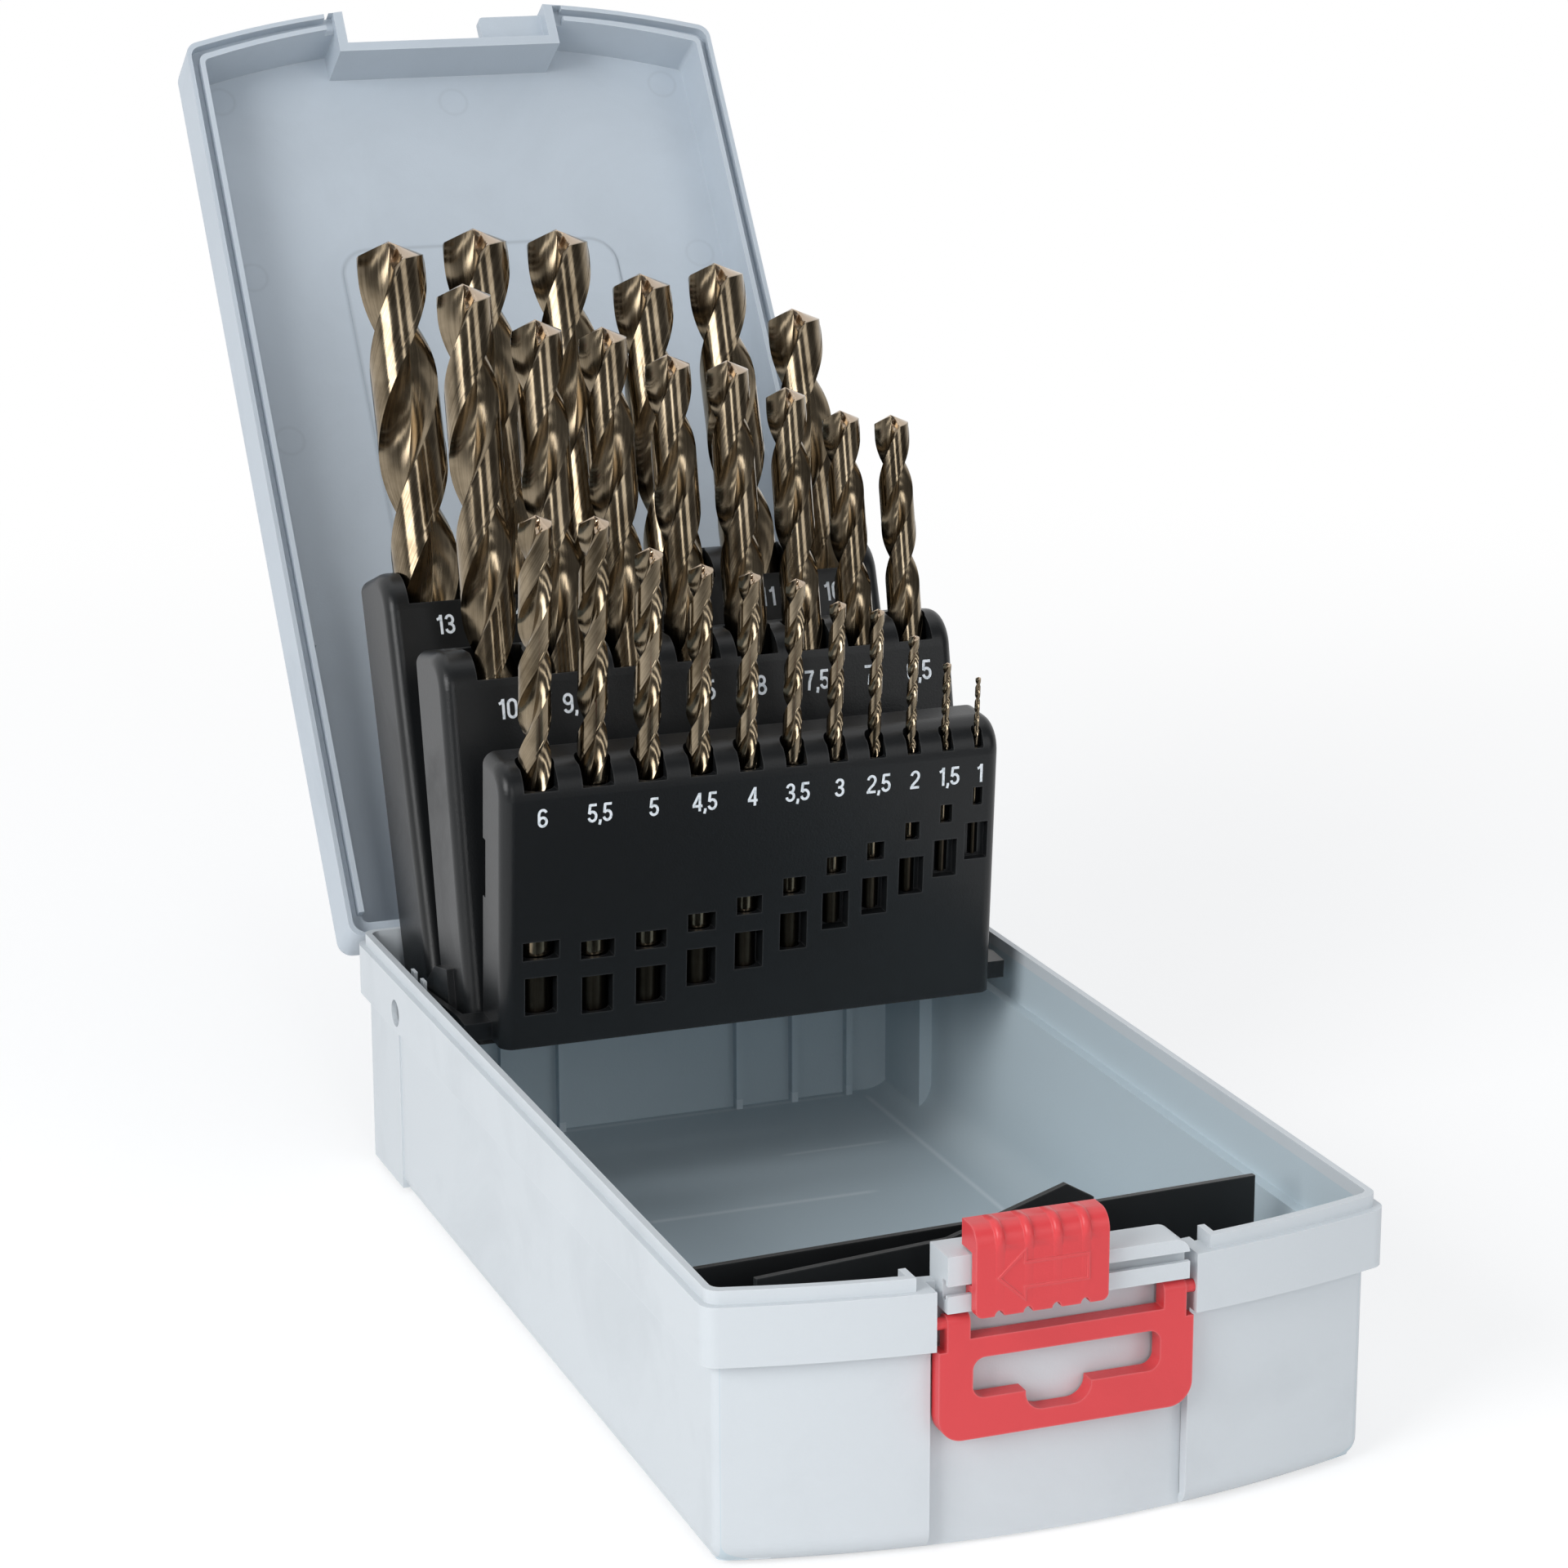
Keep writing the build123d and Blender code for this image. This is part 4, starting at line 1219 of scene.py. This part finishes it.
def corner_rise(x):
    """How far the lower edge rises in its rounded corners."""
    inset = min(x - SLIDER_X[0], SLIDER_X[1] - x, CORNER_ROUND)
    return CORNER_ROUND - math.sqrt(max(0.0, CORNER_ROUND ** 2 - (CORNER_ROUND - inset) ** 2))


def slider_outline(x):
    """The side view at x: up the front, round the top edge, back along the flange and down inside."""
    top = SLIDER_Z[1] - RIDGE_PROUD
    swell = RIDGE_PROUD * ridge_share(x)
    low = SLIDER_Z[0] + corner_rise(x) + SCALLOP_DEPTH * ridge_share(x)
    outline = [(SLIDER_FRONT, low), (SLIDER_FRONT, top - TOP_ROUND - BELOW_ROUND)]
    for step in range(ROUND_STEPS + 1):
        turn = math.pi / 2 * step / ROUND_STEPS
        fade = math.sin(math.pi * (step + 1) / (ROUND_STEPS + 2)) ** RIDGE_END
        reach = TOP_ROUND + swell * fade
        y = SLIDER_FRONT + TOP_ROUND - reach * math.cos(turn)
        outline.append((y, top - TOP_ROUND + reach * math.sin(turn)))
    outline += [(FLANGE_BACK, top), (FLANGE_BACK, FLANGE_LOW)]
    return outline + [(PLATE_BACK, FLANGE_LOW), (PLATE_BACK, low)]


print("points in a side view:", len(slider_outline(SLIDER_X[0])))


# %% Sweep the slider
def sweep_slider():
    """Corners and faces of the plate and flange, with close side views only where the shape changes."""
    turns = [math.pi / 2 * step / CORNER_STEPS for step in range(CORNER_STEPS + 1)]
    corner = [CORNER_ROUND * (1 - math.cos(turn)) for turn in turns]
    steps = [SLIDER_X[0] + inset for inset in corner]
    for centre in RIDGE_X:
        steps += [centre + RIDGE_HALF * share for share in RIDGE_STEPS]
    steps += [SLIDER_X[1] - inset for inset in reversed(corner)]
    rings = [[(x, y, z) for y, z in slider_outline(x)] for x in steps]
    count = len(rings[0])
    corners = [point for ring in rings for point in ring]
    faces = []
    for ring in range(len(rings) - 1):
        for i in range(count):
            a, b = ring * count + i, ring * count + (i + 1) % count
            faces.append((a, a + count, b + count, b))
    faces.append(tuple(range(count)))
    faces.append(tuple(reversed(range((len(rings) - 1) * count, len(rings) * count))))
    return corners, faces


# %% Arrow and rail
# the arrow as x and z on the plate, and the T-shaped rail that runs in the case's slot
ARROW = (
    (-13.6, 46.0), (-9.3, 49.9), (-9.3, 48.0), (1.2, 48.0),
    (1.2, 44.0), (-9.3, 44.0), (-9.3, 42.1), (-13.6, 46.0),
)
ARROW_LINE = 0.45
ARROW_PROUD = 0.18
ARROW_ROOT = 0.05
RAIL_Y = (-104.25, -103.55)
RAIL_NECK = (43.45, 44.55)
RAIL_HEAD = (42.7, 45.3)


def box(x, y, z):
    """Corners and faces of a box between two limits on each axis."""
    corners = [(a, b, c) for a in x for b in y for c in z]
    return corners, [(0, 1, 3, 2), (4, 6, 7, 5), (0, 4, 5, 1), (2, 3, 7, 6), (0, 2, 6, 4), (1, 5, 7, 3)]


def raised_line(points, width, root, crest):
    """A stroke on the front plate as a low rib with side walls, from its root to its crest."""
    corners, faces = [], []
    for right, left in ribbon(points, width):
        corners += [(right.x, root, right.y), (right.x, crest, right.y)]
        corners += [(left.x, crest, left.y), (left.x, root, left.y)]
    for i in range(0, len(corners) - 4, 4):
        faces += [(i + k, i + k + 4, i + k + 5, i + k + 1) for k in range(3)]
    return corners, faces


slider_mesh = build_mesh("slider_moulding", [
    sweep_slider(),
    raised_line(ARROW, ARROW_LINE, SLIDER_FRONT + ARROW_ROOT, SLIDER_FRONT - ARROW_PROUD),
    box(SLIDER_X, (PLATE_BACK, RAIL_Y[0]), RAIL_NECK),
    box(SLIDER_X, RAIL_Y, RAIL_HEAD),
])
print("slider faces:", len(slider_mesh.polygons))

# %% Fit the slider
ROUND_LIMIT = math.radians(35)
EDGE_ROUND = 0.25
EDGE_LIMIT = math.radians(50)


def outward(mesh):
    """Turns all faces outwards and shades only the round parts smooth."""
    work = bmesh.new()
    work.from_mesh(mesh)
    bmesh.ops.recalc_face_normals(work, faces=work.faces)
    for edge in work.edges:
        edge.smooth = len(edge.link_faces) == 2 and edge.calc_face_angle(0) < ROUND_LIMIT
    for face in work.faces:
        face.smooth = True
    work.to_mesh(mesh)
    work.free()


outward(slider_mesh)
slider_mesh.materials.append(red_plastic)
slider = new_piece("slider_moulding", slider_mesh, "latch_slider")
rounding = slider.modifiers.new("rounding", "BEVEL")
rounding.width = EDGE_ROUND * MM
rounding.segments = 2
rounding.limit_method = "ANGLE"
rounding.angle_limit = EDGE_LIMIT
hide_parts("latch_slider")
print("slider:", in_mm(slider.dimensions))
